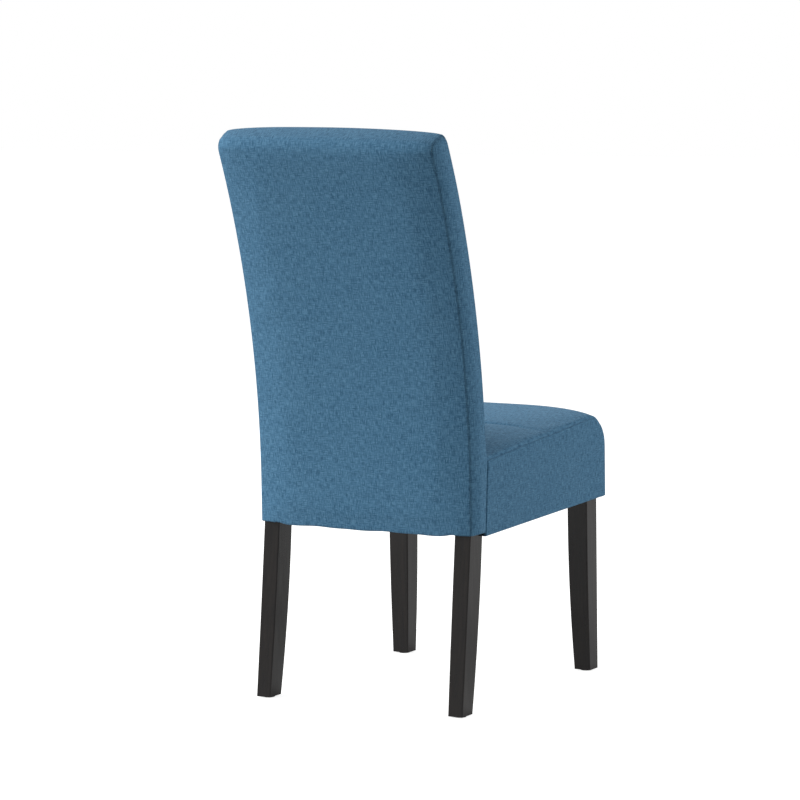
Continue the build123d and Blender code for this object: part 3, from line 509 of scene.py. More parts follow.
finishes = {
    "linen": makeLinen("blueLinen"),
    "lacquer": makeLacquer("blackLacquer"),
    "timberX": makeTimber("railTimberAcross", 0),
    "timberY": makeTimber("railTimberAlong", 1),
    "timberZ": makeTimber("blockTimber", 2),
    "board": makePlain("pressedBoard", ((0.30, 0.20, 0.12), (0.22, 0.14, 0.08)),
                       (160, 160, 160), (0.7, 0.9), (0.3, 0.0006)),
    "foam": makePlain("seatFoam", ((0.80, 0.76, 0.62), (0.72, 0.66, 0.50)),
                      (420, 420, 420), (0.9, 1.0), (0.6, 0.001)),
    "wadding": makePlain("fibreWadding", ((0.84, 0.84, 0.82), (0.74, 0.74, 0.73)),
                         (60, 500, 60), (0.9, 1.0), (0.5, 0.001), Sheen_Weight=0.3),
    "strap": makePlain("elasticStrap", ((0.06, 0.055, 0.05), (0.13, 0.12, 0.11)),
                       (700, 60, 700), (0.75, 0.9), (0.6, 0.0006)),
    "dust": makePlain("dustCloth", ((0.022, 0.022, 0.024), (0.040, 0.040, 0.043)),
                      (900, 900, 900), (0.8, 0.95), (0.5, 0.0003), Sheen_Weight=0.15),
    "zinc": makePlain("zincSteel", ((0.62, 0.62, 0.60), (0.50, 0.51, 0.50)),
                      (240, 240, 240), (0.28, 0.45), (0.15, 0.0002), Metallic=1.0),
    "glide": makePlain("glidePlastic", ((0.05, 0.05, 0.05), (0.035, 0.035, 0.036)),
                       (300, 300, 300), (0.4, 0.6), (0.15, 0.0003)),
    "thread": makePlain("seamThread", ((0.055, 0.140, 0.225), (0.068, 0.165, 0.260)),
                        (900, 900, 900), (0.6, 0.8), (0.4, 0.0002), Specular_IOR_Level=0.12),
}
nodeFinish = {
    "lacquer": ["rear_post_left", "rear_post_right", "front_leg_left", "front_leg_right"],
    "timberX": ["back_bottom_rail", "back_lower_rail", "back_middle_rail", "back_top_rail",
                "back_rail_dowels", "seat_front_rail", "seat_rear_rail"],
    "timberY": ["seat_left_rail", "seat_right_rail", "seat_rail_dowels"],
    "timberZ": ["corner_block_left", "corner_block_right"],
    "board": ["back_board"],
    "zinc": ["corner_block_screws", "hanger_bolts", "hanger_washers", "hanger_nuts", "seat_bolts",
             "seat_bolt_washers", "barrel_nuts"],
    "glide": ["foot_glides"],
}
for finish, names in nodeFinish.items():
    for name in names:
        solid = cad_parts[name]
        if not solid.material_slots:
            solid.data.materials.append(finishes[finish])
        for spot in solid.material_slots:
            spot.material = finishes[finish]
print("materials made:", len(finishes))


def meshObject(name, verts, faces, material, uvs=None):
    mesh = bpy.data.meshes.new(name)
    mesh.from_pydata(verts, [], faces)
    if uvs:
        layer = mesh.uv_layers.new(name="clothUV")
        for loop in mesh.loops:
            layer.data[loop.index].uv = uvs[loop.vertex_index]
    mesh.materials.append(material)
    for face in mesh.polygons:
        face.use_smooth = True
    obj = bpy.data.objects.new(name, mesh)
    scene.collection.objects.link(obj)
    return obj


def gridFaces(rows, cols, flip=False):
    faces = []
    for i in range(rows - 1):
        for j in range(cols - 1):
            quad = [i * cols + j, i * cols + j + 1, (i + 1) * cols + j + 1, (i + 1) * cols + j]
            faces.append(quad[::-1] if flip else quad)
    return faces


def thicken(obj, thick):
    wall = obj.modifiers.new("cloth", "SOLIDIFY")
    wall.thickness = thick
    wall.offset = -1


# cloth panels of the cushions; the first columns at a seam are pinned, the next ones partly held
upholstery = {"thick": 0.0012, "frames": 20, "pinned": 5, "hold": 0.5, "fade": 0.08}
clothSettings = {"quality": 6, "mass": 0.3, "tension_stiffness": 25, "compression_stiffness": 25,
                 "shear_stiffness": 10, "bending_stiffness": 5, "use_pressure": True,
                 "vertex_group_mass": "held"}


# air pressure fills the panel between its pinned seams; the result is capped and written back
def fillPanel(obj, held, pressure, cap):
    before = [v.co.copy() for v in obj.data.vertices]
    group = obj.vertex_groups.new(name="held")
    for index, weight in enumerate(held):
        if weight > 0:
            group.add([index], weight, "REPLACE")
    mod = obj.modifiers.new("fill", "CLOTH")
    for key, value in clothSettings.items():
        setattr(mod.settings, key, value)
    mod.settings.uniform_pressure_force = pressure
    mod.settings.effector_weights.gravity = 0
    mod.collision_settings.use_collision = False
    mod.point_cache.frame_start = 1
    mod.point_cache.frame_end = upholstery["frames"]
    for number in range(1, upholstery["frames"] + 1):
        scene.frame_set(number)
    shaped = obj.evaluated_get(bpy.context.evaluated_depsgraph_get()).data
    after = [v.co.copy() for v in shaped.vertices]
    obj.modifiers.remove(mod)
    obj.vertex_groups.remove(group)
    scene.frame_set(1)
    most = 0.0
    for vert, old, new in zip(obj.data.vertices, before, after):
        move = new - old
        if move.length > cap:
            move = move.normalized() * cap
        most = max(most, move.length)
        vert.co = old + move
    obj.data.update()
    print("filled", obj.name, "most", round(most * 1000, 2), "mm")


def sewPanel(name, node, panel, cols, flip, verts, uvs, held):
    obj = meshObject(name, verts, gridFaces(len(verts) // cols, cols, flip), finishes["linen"], uvs)
    fillPanel(obj, held, panel["pressure"], panel["cap"])
    soft = obj.modifiers.new("soft", "SUBSURF")
    soft.levels = soft.render_levels = 1
    thicken(obj, upholstery["thick"])
    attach(obj, "root")
    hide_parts(node)
    print("sewn", name, len(verts), "points")


# points, cloth coordinates and pinning of a panel given by its columns
def sewnGrid(columns, fastRows):
    run = lengths(columns[len(columns) // 2])
    verts, uvs, held = [], [], []
    for i in range(len(run)):
        for j, column in enumerate(columns):
            away = min(j, len(columns) - 1 - j) - upholstery["pinned"]
            isFast = away < 0 or i in fastRows
            verts.append(column[i])
            uvs.append((column[i][0], run[i]))
            held.append(1.0 if isFast else max(0.0, upholstery["hold"] - upholstery["fade"] * away))
    return verts, uvs, held


# sewn channel across a panel, on two steps of its outline; its rows draw together at the stitch line
channel = {"depth": 0.0050, "width": 0.0060, "power": 1.3, "spots": [0.35, 0.62, 0.8, 0.92, 1.0]}


def channelRun(first):
    spots = channel["spots"]
    after = [1 - t for t in reversed(spots[:-1])] + [1.0]
    return [(first, t) for t in spots] + [(first + 1, t) for t in after]


def channelDip(first, k, t, share):
    if k not in (first, first + 1):
        return 0.0
    away = (1 - t if k == first else t) * chair["channelHalf"]
    return channel["depth"] * math.exp(-(away / channel["width"]) ** channel["power"]) * crownShare(share)


# lower edges; over a leg, between the two leg edges, the cloth turns in less
hem = {"roll": 0.003, "lipRows": 5, "drop": 0.0038, "wave": 0.0007, "waves": ((41, 0.8, 1.0), (87, 2.1, 0.6)),
       "turnIn": 0.016, "legTurnIn": 0.0012, "legEdge": (0.168, 0.186),
       "frontWave": 0.0006, "frontEdge": (0.15, 0.2), "frontTurnIn": (0.022, 0.012)}


def rearHem(x):
    inside = 1 - smooth(abs(x), *hem["legEdge"])
    wave = hem["wave"] * sum(share * math.sin(x * pitch + shift) for pitch, shift, share in hem["waves"])
    turnIn = hem["legTurnIn"] + inside * (hem["turnIn"] - hem["legTurnIn"])
    return chair["backBottom"] - inside * (hem["drop"] + wave), turnIn


def rolledHem(edge, low, roll, inward):
    return [(edge + inward * roll, low), (edge + inward * roll * 0.3, low + roll * 0.3), (edge, low + roll)]


# the top of the back settles, more at one corner
slump = {"drop": 0.0042, "rise": 0.0006, "settle": 0.0012, "heights": (0.93, 1.05)}


def slumped(x, y, z):
    uneven = slump["rise"] * smooth(x, 0.0, 0.2) - slump["drop"] * smooth(-x, -0.03, 0.21)
    return (x, y, z + smooth(z, *slump["heights"]) * (uneven - slump["settle"]))


backPanel = {"pitch": 0.0092, "upperRows": [7, 42, 9, 4, 7, 17], "channel": 6, "lowerRows": [17, 6, 4],
             "fastStart": 6, "fastEnd": 11, "pressure": 2.0, "cap": 0.0025, "fill": 0.9}


# rear hem, over the top and down the front, for one place across and one inset
def backColumn(x, d, spots):
    share = shareAt(x)
    start, steps = backSkin(share, d)
    zHem, turnIn = rearHem(x)
    rear = start[0] + stuffing["rear"]
    roll = min(hem["roll"], turnIn)
    lift = smooth(turnIn, 0.002, hem["turnIn"])
    lip = [(rear - turnIn, zHem + 0.0030 * lift), (rear - 0.62 * turnIn, zHem + 0.0012 * lift)]
    lip += rolledHem(rear, zHem, roll, -1)
    points = []
    for (k, t), point in zip(spots, onOutline(((start[0], zHem + roll), steps), spots)):
        y, z = stuffed(k, t, point)
        dip = channelDip(backPanel["channel"], k, t, share)
        points.append((y + dip * math.cos(seamAngle), z - dip * math.sin(seamAngle)))
    return at(x, lip + points)


def makeBackPanel():
    spots = evenSpots(backPanel["upperRows"]) + channelRun(backPanel["channel"])
    spots += evenSpots(backPanel["lowerRows"], backPanel["channel"] + 2)
    kinds = [0.0] * hem["lipRows"] + [towardFront(k, t) for k, t in spots]
    columns = []
    for (xRear, dRear), (xFront, dFront) in panelColumns(backPanel["pitch"], ("rear", "front")):
        pair = zip(backColumn(xRear, dRear, spots), backColumn(xFront, dFront, spots), kinds)
        columns.append([mixed(one, two, kind) for one, two, kind in pair])
    count = len(kinds)
    stitchRow = hem["lipRows"] + spots.index((backPanel["channel"], 1.0))
    fast = {i for i, (k, t) in enumerate(spots, hem["lipRows"]) if k in (2, 3, 4)}  # round the top
    fast.update(range(backPanel["fastStart"]), range(count - backPanel["fastEnd"], count))
    fast.update(range(stitchRow - 1, stitchRow + 2))
    verts, uvs, held = sewnGrid(columns, fast)
    verts = [slumped(*vert) for vert in verts]
    sewPanel("backPanel", "back_main_cover", backPanel, len(columns), True, verts, uvs, held)


# line where the back's side panel meets the seat's side panel, leaning rearward at the bottom
meeting = {"out": 0.0098, "height": 0.128, "power": 0.85, "clear": 0.0005}


def lean(z):
    return meeting["out"] * max(0.0, 1 - (z - chair["backBottom"]) / meeting["height"]) ** meeting["power"]


# columns or rows of a side panel, close together at its seams
sideEdge = {"runs": [0.0, 0.0007, 0.0015, 0.0026, 0.0042, 0.0065, 0.010, 0.015], "near": 0.0007,
            "most": 0.08, "tableStep": 0.0002, "tableCount": 201, "fast": 0.003}


def edgeFractions(length, count, first=True):
    low = [run / length for run in sideEdge["runs"]] if first else [0.0]
    high = [1 - run / length for run in reversed(sideEdge["runs"])]
    return low + [low[-1] + (high[0] - low[-1]) * (i + 1) / (count + 1) for i in range(count)] + high


# how far a side panel lies inside the side plane at a distance from its seam
def sideIn(kind, away):
    low, high = 0.0, sideEdge["most"]
    for _ in range(40):
        middle = (low + high) / 2
        if roundedEdge(kind, -middle)[1] - seamSpot[kind][1] < away:
            low = middle
        else:
            high = middle
    return roundedEdge(kind, -low)[0]


# the strip next to the seam runs straight down into the groove
def sideTable(kind):
    near = sideEdge["near"]
    edge, first = seamSpot[kind][0], sideIn(kind, near)
    table = []
    for i in range(sideEdge["tableCount"]):
        away = i * sideEdge["tableStep"]
        table.append(edge + (first - edge) * away / near if away < near else sideIn(kind, away))
    return table


sideTables = {kind: sideTable(kind) for kind in seams}


def sideInset(kind, away):
    table = sideTables[kind]
    place = min(away / sideEdge["tableStep"], len(table) - 1.001)
    k = int(place)
    return table[k] + (table[k + 1] - table[k]) * (place - k)


def backInset(toRear, toFront):
    share = toRear / max(toRear + toFront, 1e-6)
    away = min(toRear, toFront)
    return sideInset("rear", away) * (1 - share) + sideInset("front", away) * share


def backSeam(spots):
    rear, front = (onOutline(backSkin(1.0, seamSpot[kind][1]), spots) for kind in ("rear", "front"))
    return [stuffed(k, t, mixed(one, two, towardFront(k, t))) for one, two, (k, t) in zip(rear, front, spots)]


# hem pairs are the way down and the way in, from underneath up to the face
backSide = {"width": 0.046, "across": 4, "rows": 74, "leavesSeat": (0.456, 0.482),
            "rearRows": [8, 60, 18], "frontRows": [10, 40, 2, 2, 40, 20, 16],
            "hem": ((0.003, 0.0042), (0.003, 0.0026), (0.0021, 0.0009), (0.0011, 0.0002)),
            "hold": 0.6, "fade": 40, "pressure": 1.0, "cap": 0.0015, "fill": 0.85}


def makeBackSide(hand, side):
    bottom = chair["backBottom"] + hem["roll"]
    rearLine = backSeam(evenSpots(backSide["rearRows"]) + [(3, 0.25), (3, 0.5)])
    rearLine = [(rearLine[0][0], bottom)] + rearLine
    spots = [(3, 0.5), (3, 0.75), (3, 1.0)] + evenSpots(backSide["frontRows"], 4)
    frontLine = []
    for y, z in reversed(backSeam(spots)):
        free = smooth(z, *backSide["leavesSeat"])
        onSeat = joint + meeting["clear"] + lean(z)
        frontLine.append((onSeat * (1 - free) + y * free, max(z, bottom)))
    rear, front = (resample(line, evenly(backSide["rows"])) for line in (rearLine, frontLine))
    width = backSide["width"]
    across = edgeFractions(width, backSide["across"])
    verts, uvs, held = [], [], []
    for down, a in backSide["hem"]:
        for c in across:
            y = rear[0][0] + (front[0][0] - rear[0][0]) * c
            inward = max(a, backInset(c * width, (1 - c) * width))
            verts.append((side * (halfWidth - inward), y, bottom - down))
            uvs.append((y, bottom - down))
            held.append(1.0)
    for i, pair in enumerate(zip(rear, front)):
        for c in across:
            y, z = mixed(*pair, c)
            toRear, toFront = nearest((y, z), rearLine), nearest((y, z), frontLine)
            away = min(toRear, toFront)
            isFast = away < sideEdge["fast"] or i < 3
            verts.append(slumped(side * (halfWidth - backInset(toRear, toFront)), y, z))
            uvs.append((y, z))
            held.append(1.0 if isFast else max(0.0, backSide["hold"] - away * backSide["fade"]))
    node = "back_side_cover_" + hand.lower()
    sewPanel("backSide" + hand, node, backSide, len(across), side > 0, verts, uvs, held)


seatPanel = {"pitch": 0.0105, "frontRows": [7, 12, 14], "channel": 3, "rearRows": [18],
             "tail": ((0.0002, 0.006), (0.0002, 0.016), (0.0, 0.03)),
             "fastStart": 6, "fastEnd": 5, "pressure": 2.0, "cap": 0.0008, "fill": 0.85}


# front hem, over the nose and the top, and down behind, for one place across and one inset
def seatColumn(x, d, spots):
    share = shareAt(x)
    (front, zHem), steps = seatSkin(share, d)
    wave = hem["frontWave"]
    zHem += wave * math.sin(x * 38 + 0.4) * (1 - smooth(abs(x), *hem["frontEdge"]))
    deep, mid = hem["frontTurnIn"]
    lip = [(front + deep, zHem + wave), (front + mid, zHem)] + rolledHem(front, zHem, hem["roll"], 1)
    points = onOutline(((front, zHem + hem["roll"]), steps), spots)
    points = [(y, z - channelDip(seatPanel["channel"], k, t, share)) for (k, t), (y, z) in zip(spots, points)]
    yEnd, zEnd = points[-1]
    tail = [(yEnd + back, zEnd - down) for back, down in seatPanel["tail"]]
    return at(x, lip + points + tail)


def makeSeatPanel():
    spots = evenSpots(seatPanel["frontRows"]) + channelRun(seatPanel["channel"])
    spots += evenSpots(seatPanel["rearRows"], seatPanel["channel"] + 2)
    columns = [seatColumn(x, d, spots) for ((x, d),) in panelColumns(seatPanel["pitch"], ("seat",))]
    count = len(columns[0])
    stitchRow = hem["lipRows"] + spots.index((seatPanel["channel"], 1.0))
    fast = {*range(seatPanel["fastStart"]), *range(count - seatPanel["fastEnd"], count)}
    fast.update(range(stitchRow - 1, stitchRow + 2))
    sewPanel("seatPanel", "seat_top_cover", seatPanel, len(columns), True, *sewnGrid(columns, fast))


seatSide = {"length": 0.466, "height": 0.150, "along": 34, "up": 12, "noseRows": 14, "topRows": 20,
            "hemRise": 0.0008,
            "hem": ((0.003, 0.016), (0.003, 0.009), (0.003, 0.003), (0.0021, 0.0009), (0.0011, 0.0002)),
            "legTurnIn": 0.0042, "legClear": (0.002, 0.012),
            "hold": 0.5, "fade": 25, "pressure": 1.2, "cap": 0.002, "fill": 0.85}


# front, top and rear edge lines of the seat's side panel
def seatSideLines():
    outline = seatSkin(1.0, seamSpot["seat"][1])
    foot, nose = outline[0], seatSide["noseRows"]
    noseSpots = evenRun(1, 2 * nose)
    frontLine = [(foot[0], foot[1] + hem["roll"])] + onOutline(outline, evenRun(0, 12) + noseSpots[:nose])
    topLine = [frontLine[-1]] + onOutline(outline, noseSpots[nose:])
    topLine += onOutline(outline, [spot for k in (2, 3, 4, 5) for spot in evenRun(k, seatSide["topRows"])])
    yEnd, zEnd = topLine[-1]
    stretch = (joint + lean(zEnd) - meeting["clear"] - seatSeamY) / (yEnd - seatSeamY)
    topLine = [(y if y < seatSeamY else seatSeamY + (y - seatSeamY) * stretch, z) for y, z in topLine]
    zLow = chair["seatBottom"] + hem["roll"]
    rearLine = [(joint + lean(z) - meeting["clear"], z) for z in between(zLow, zEnd, 20)]
    return frontLine, topLine, rearLine


def makeSeatSide(hand, side):
    frontLine, topLine, rearLine = seatSideLines()
    seamLine = frontLine + topLine[1:] + rearLine[::-1]
    us = edgeFractions(seatSide["length"], seatSide["along"])
    vs = edgeFractions(seatSide["height"], seatSide["up"], first=False)
    top = resample(topLine, us)
    front, rear = resample(frontLine, vs), resample(rearLine, vs)
    grid = []
    for j, v in enumerate(vs):
        grid.append([])
        for i, u in enumerate(us):
            low, high = mixed(frontLine[0], rearLine[0], u), mixed(topLine[0], topLine[-1], u)
            parts = zip(mixed(low, top[i], v), mixed(front[j], rear[j], u), mixed(low, high, v))
            grid[-1].append(tuple(p + q - r for p, q, r in parts))
    near, far = seatSide["legClear"]
    verts, uvs, held = [], [], []
    for row, (down, a) in enumerate(seatSide["hem"]):
        for u, (y, z) in zip(us, grid[0]):
            atLeg = smooth(y, legFront - far, legFront - near)
            atLeg *= 1 - smooth(y, legRear + near, legRear + far)
            inward = min(a, seatSide["legTurnIn"]) * atLeg + a * (1 - atLeg)
            inward = max(inward, sideInset("seat", min(u, 1 - u) * seatSide["length"]))
            rise = seatSide["hemRise"] if row < 2 else 0.0
            verts.append((side * (halfWidth - inward), y, z - down + rise))
            uvs.append((y, z - down - a))
            held.append(1.0)
    for j, row in enumerate(grid):
        for y, z in row:
            away = nearest((y, z), seamLine)
            isFast = away < sideEdge["fast"] or j < 2
            verts.append((side * (halfWidth - sideInset("seat", away)), y, z))
            uvs.append((y, z))
            held.append(1.0 if isFast else max(0.0, seatSide["hold"] - away * seatSide["fade"]))
    node = "seat_side_cover_" + hand.lower()
    sewPanel("seatSide" + hand, node, seatSide, len(us), side < 0, verts, uvs, held)


makeBackPanel()
for hand, side in hands.items():
    makeBackSide(hand, side)
makeSeatPanel()
for hand, side in hands.items():
    makeSeatSide(hand, side)
print("upholstery sewn")


# closed pad between an outer and an inner grid of points
def closedPad(name, node, finish, outer, inner):
    rows, cols = len(outer), len(outer[0])
    count = rows * cols
    faces = gridFaces(rows, cols)
    faces += [[v + count for v in reversed(face)] for face in faces]
    rim = list(range(cols)) + [i * cols + cols - 1 for i in range(1, rows)]
    rim += [(rows - 1) * cols + j for j in range(cols - 2, -1, -1)]
    rim += [i * cols for i in range(rows - 2, 0, -1)]
    faces += [[two, one, one + count, two + count] for one, two in zip(rim, rim[1:] + rim[:1])]
    obj = meshObject(name, [point for row in outer + inner for point in row], faces, finishes[finish])
    shell = bmesh.new()
    shell.from_mesh(obj.data)
    bmesh.ops.recalc_face_normals(shell, faces=shell.faces)
    shell.to_mesh(obj.data)
    shell.free()
    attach(obj, "root")
    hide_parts(node)


# foam under the covers, drawn in under a sewn channel
foam = {"half": 0.2235, "pitch": 0.016, "clear": 0.0026, "corner": 0.012,
        "turns": (0.0, 0.4, 0.8, 1.2, math.pi / 2), "dip": 0.0045, "dipWide": 0.022,
        "hemClear": 0.004, "backClear": 0.0006, "capClear": 0.001, "capDepths": (0.006, 0.02),
        "strapClear": 0.0008, "backRows": 70, "seatRows": 60, "fill": 0.95}


def underChannel(away):
    return foam["dip"] * math.exp(-(away / foam["dipWide"]) ** 2)


def foamColumns():
    corner, half = foam["corner"], foam["half"]
    count = round((half - corner) / foam["pitch"])
    run = [(corner * (1 - math.cos(t)), corner * (1 - math.sin(t))) for t in foam["turns"]]
    run += [(corner + (half - corner) * i / count, 0.0) for i in range(1, count + 1)]
    inset = skinGap + foam["clear"]
    return mirrored([(half - a, inset + d) for a, d in run])


def makeBackFoam():
    capAngle = postTopAngle + foam["capClear"] / frontRadius
    depth = strapFront + foam["backClear"]
    low = chair["backBottom"] + foam["hemClear"]
    seamHeight = backPoint(chair["backThick"], seamAngle)[1]
    fractions = evenly(foam["backRows"])
    spots = [(1, 0.93), (1, 1.0)] + evenSpots([8, 2, 8, 20, 2, 2, 20, 8, 4], 2)
    innerLine = [backPoint(over, capAngle) for over in foam["capDepths"]]  # over the posts
    innerLine += [backPoint(depth, angle) for angle in between(capAngle, 0.0, 40)]
    innerLine = resample(innerLine + [(backRear - depth, low)], fractions)
    outer, inner = [], []
    for x, inset in foamColumns():
        line = onOutline(backSkin(shareAt(x), inset), spots)
        line[-1] = (line[-1][0], low)
        outer.append([(x, y + underChannel(z - seamHeight), z) for y, z in resample(line, fractions)])
        inner.append(at(x, innerLine))
    closedPad("backFoamPad", "back_foam", "foam", outer, inner)


def strapTop(y):
    return railTop(y) + 2 * chair["webbing"] + foam["strapClear"]


def makeSeatFoam():
    fractions = evenly(foam["seatRows"])
    rear = joint - foam["hemClear"]
    front = legFront - foam["strapClear"]
    outer, inner = [], []
    for x, inset in foamColumns():
        foot, steps = seatSkin(shareAt(x), inset)
        low = seatBottom(foot[0]) + foam["hemClear"]
        line = [(foot[0], low)] + onOutline((foot, steps), evenSpots([6, 10, 14, 2, 2, 16]))
        line.append((line[-1][0], strapTop(rear) + foam["hemClear"]))
        under = [(front, low), (front, strapTop(legFront))]
        under += [(y, strapTop(y)) for y in between(legFront, rear, 20)[1:]]
        outer.append([(x, y, z - underChannel(y - seatSeamY)) for y, z in resample(line, fractions)])
        inner.append(at(x, resample(under, fractions)))
    closedPad("seatFoamPad", "seat_foam", "foam", outer, inner)


# thin fibre sheets behind the back and along both sides
wadding = {"half": 0.203, "low": 0.334, "knee": 0.366, "clear": 0.0004, "inside": 0.0012, "fluff": 0.0004,
           "sideOuter": 0.2266, "sideInner": 0.2204, "sidePuff": 0.0008, "sideFluff": 0.0002,
           "fluffPitch": 60, "backDepth": 0.012, "backWidth": 0.022, "backRows": 8,
           "seatRise": 0.006, "seatWidth": 0.070, "seatRows": 12, "seatClear": 0.006, "fill": 0.7}
backAngles = between(0.0, postTopAngle, 50)


def makeRearWadding():
    outer, inner = [], []
    for x in between(-wadding["half"], wadding["half"], 40):
        out = skinGap + wadding["clear"] - chair["rearCrown"] * crownShare(abs(x) / coverHalf)
        fluff = wadding["fluff"] * noise.noise(Vector((x * 30, 3.0, 0.0)))
        inside = skinGap + wadding["inside"]
        for grid, low, depth in ((outer, out, out), (inner, inside, inside + fluff * 0.3)):
            line = [(backRear - low, wadding["low"])] + [backPoint(depth, angle) for angle in backAngles]
            grid.append(at(x, line))
    closedPad("backRearWadding", "back_rear_wadding", "wadding", outer, inner)


def makeSideWadding(name, node, side, seed, rows):
    outer, inner = [], []
    for share, line in zip(evenly(len(rows) - 1), rows):
        full = wadding["sideOuter"] + wadding["sidePuff"] * math.sin(math.pi * share)
        outer.append([])
        for y, z in line:
            fluff = wadding["sideFluff"] * ruffle(y, z, wadding["fluffPitch"], seed)
            outer[-1].append((side * (full + fluff), y, z))
        inner.append(at(side * wadding["sideInner"], line))
    closedPad(name, node, "wadding", outer, inner)


def backStripLine(share):
    depth = wadding["backDepth"] + wadding["backWidth"] * share
    foot = [(backRear - depth, wadding["low"]), (backRear - depth, wadding["knee"])]
    return foot + [backPoint(depth, angle) for angle in backAngles]


def seatStripLine(share):
    rise = wadding["seatRise"] + wadding["seatWidth"] * share
    return [(y, seatBottom(y) + rise) for y in between(legFront, joint - wadding["seatClear"], 60)]


makeBackFoam()
makeSeatFoam()
makeRearWadding()
backStrip = [backStripLine(share) for share in evenly(wadding["backRows"])]
seatStrip = [seatStripLine(share) for share in evenly(wadding["seatRows"])]
for hand, side in hands.items():
    makeSideWadding("backSideWadding" + hand, "back_side_wadding", side, 1.0, backStrip)
    makeSideWadding("seatSideWadding" + hand, "seat_side_wadding", side, 5.0, seatStrip)
print("filling laid in")


# node tree that sets one small piece on every point of a line or a set of points
class RowTree(NodeBench):
    def __init__(self, name, finish, sizes):
        super().__init__(bpy.data.node_groups.new(name, "GeometryNodeTree"))
        self.finish = finishes[finish]
        self.keys = {}
        sockets = self.tree.interface
        sockets.new_socket("Geometry", in_out="INPUT", socket_type="NodeSocketGeometry")
        for label, value in sizes.items():
            socket = sockets.new_socket(label, in_out="INPUT", socket_type="NodeSocketFloat")
            socket.default_value = value
            self.keys[label] = socket.identifier
        sockets.new_socket("Geometry", in_out="OUTPUT", socket_type="NodeSocketGeometry")
        self.source = self.add("NodeGroupInput").outputs

    def alongLine(self):
        curve = self.add("GeometryNodeMeshToCurve", {0: self.source["Geometry"]})
        inputs = {"Curve": curve.outputs[0], "Length": self.source["Spacing"]}
        points = self.add("GeometryNodeCurveToPoints", inputs, mode="LENGTH").outputs
        align = self.add("FunctionNodeAlignRotationToVector", {"Vector": points["Tangent"]}, axis="Z")
        return points["Points"], align.outputs[0]

    def size(self, *labels):
        inputs = {index: self.source[label] for index, label in enumerate(labels)}
        return self.add("ShaderNodeCombineXYZ", inputs).outputs[0]

    # the last nodes of every tree: instances made real, flat, in one material
    def setPieces(self, points, piece, rotation):
        inputs = {"Points": points, "Instance": piece, "Rotation": rotation}
        place = self.add("GeometryNodeInstanceOnPoints", inputs)
        real = self.add("GeometryNodeRealizeInstances", {0: place.outputs[0]})
        shade = self.add("GeometryNodeSetShadeSmooth", {0: real.outputs[0], "Shade Smooth": False})
        paint = self.add("GeometryNodeSetMaterial", {"Geometry": shade.outputs[0], "Material": self.finish})
        self.add("NodeGroupOutput", {0: paint.outputs[0]})


stitches = {"Spacing": 0.0042, "Length": 0.0031, "Radius": 0.00036}
staples = {"Spacing": 0.040, "Length": 0.0105, "Wire": 0.0008}
straps = {"Length": 0.434, "Width": 0.050, "Thick": 0.0013, "Sag": 0.002}


def stitchTree():
    row = RowTree("seamStitches", "thread", stitches)
    points, rotation = row.alongLine()
    inputs = {"Vertices": 6, "Radius": row.source["Radius"], "Depth": row.source["Length"]}
    row.setPieces(points, row.add("GeometryNodeMeshCylinder", inputs).outputs["Mesh"], rotation)
    return row


def stapleTree():
    row = RowTree("clothStaples", "zinc", staples)
    points, rotation = row.alongLine()
    bar = row.add("GeometryNodeMeshCube", {"Size": row.size("Wire", "Wire", "Length")})
    row.setPieces(points, bar.outputs["Mesh"], rotation)
    return row


# one strap, sagging a little between its fixed ends, on every point that carries a turn
def strapTree():
    row = RowTree("webbingStraps", "strap", straps)
    inputs = {"Size": row.size("Length", "Width", "Thick"), "Vertices X": 41, "Vertices Y": 9}
    strap = row.add("GeometryNodeMeshCube", inputs)
    split = row.add("ShaderNodeSeparateXYZ", {0: row.add("GeometryNodeInputPosition").outputs[0]})
    share = row.math("DIVIDE", row.math("MULTIPLY", split.outputs[0], 2.0), row.source["Length"])
    bow = row.math("SUBTRACT", row.math("MULTIPLY", share, share), 1.0)
    shift = row.add("ShaderNodeCombineXYZ", {2: row.math("MULTIPLY", bow, row.source["Sag"])})
    move = row.add("GeometryNodeSetPosition", {"Geometry": strap.outputs["Mesh"], "Offset": shift.outputs[0]})
    turn = row.add("GeometryNodeInputNamedAttribute", {"Name": "turn"}, data_type="FLOAT_VECTOR")
    rotation = row.add("FunctionNodeEulerToRotation", {0: turn.outputs["Attribute"]})
    row.setPieces(row.source["Geometry"], move.outputs["Geometry"], rotation.outputs[0])
    return row


stitchRow, stapleRow, strapRow = stitchTree(), stapleTree(), strapTree()


# points with edges grow a row along lines, points with turns grow single pieces
def growRow(name, row, slot, sizes, points, edges=(), turns=(), node=None):
    mesh = bpy.data.meshes.new(name + "Line")
    mesh.from_pydata(points, edges, [])
    if turns:
        layer = mesh.attributes.new("turn", "FLOAT_VECTOR", "POINT")
        for index, value in enumerate(turns):
            layer.data[index].vector = value
    source = bpy.data.objects.new(name + "Line", mesh)
    scene.collection.objects.link(source)
    mod = source.modifiers.new("row", "NODES")
    mod.node_group = row.tree
    for label, value in sizes.items():
        mod[row.keys[label]] = value
    graph = bpy.context.evaluated_depsgraph_get()
    made = bpy.data.meshes.new_from_object(source.evaluated_get(graph), depsgraph=graph)
    source.modifiers.remove(mod)
    bpy.data.objects.remove(source)
    made.name = name
    made.materials.clear()
    made.materials.append(row.finish)
    obj = bpy.data.objects.new(name, made)
    scene.collection.objects.link(obj)
    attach(obj, "root")
    if node:
        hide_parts(node)


def lines(runs):
    points, edges = [], []
    for run in runs:
        first = len(points)
        points += run
        edges += [(first + i, first + i + 1) for i in range(len(run) - 1)]
    return points, edges


thread = {"lift": 0.0004, "acrossHalf": 0.219, "acrossRows": 60, "skipHem": 2,
          "backRows": [8, 60, 12, 4, 12, 30, 2, 2, 30], "seatRows": [8, 16, 20, 2, 2, 20]}


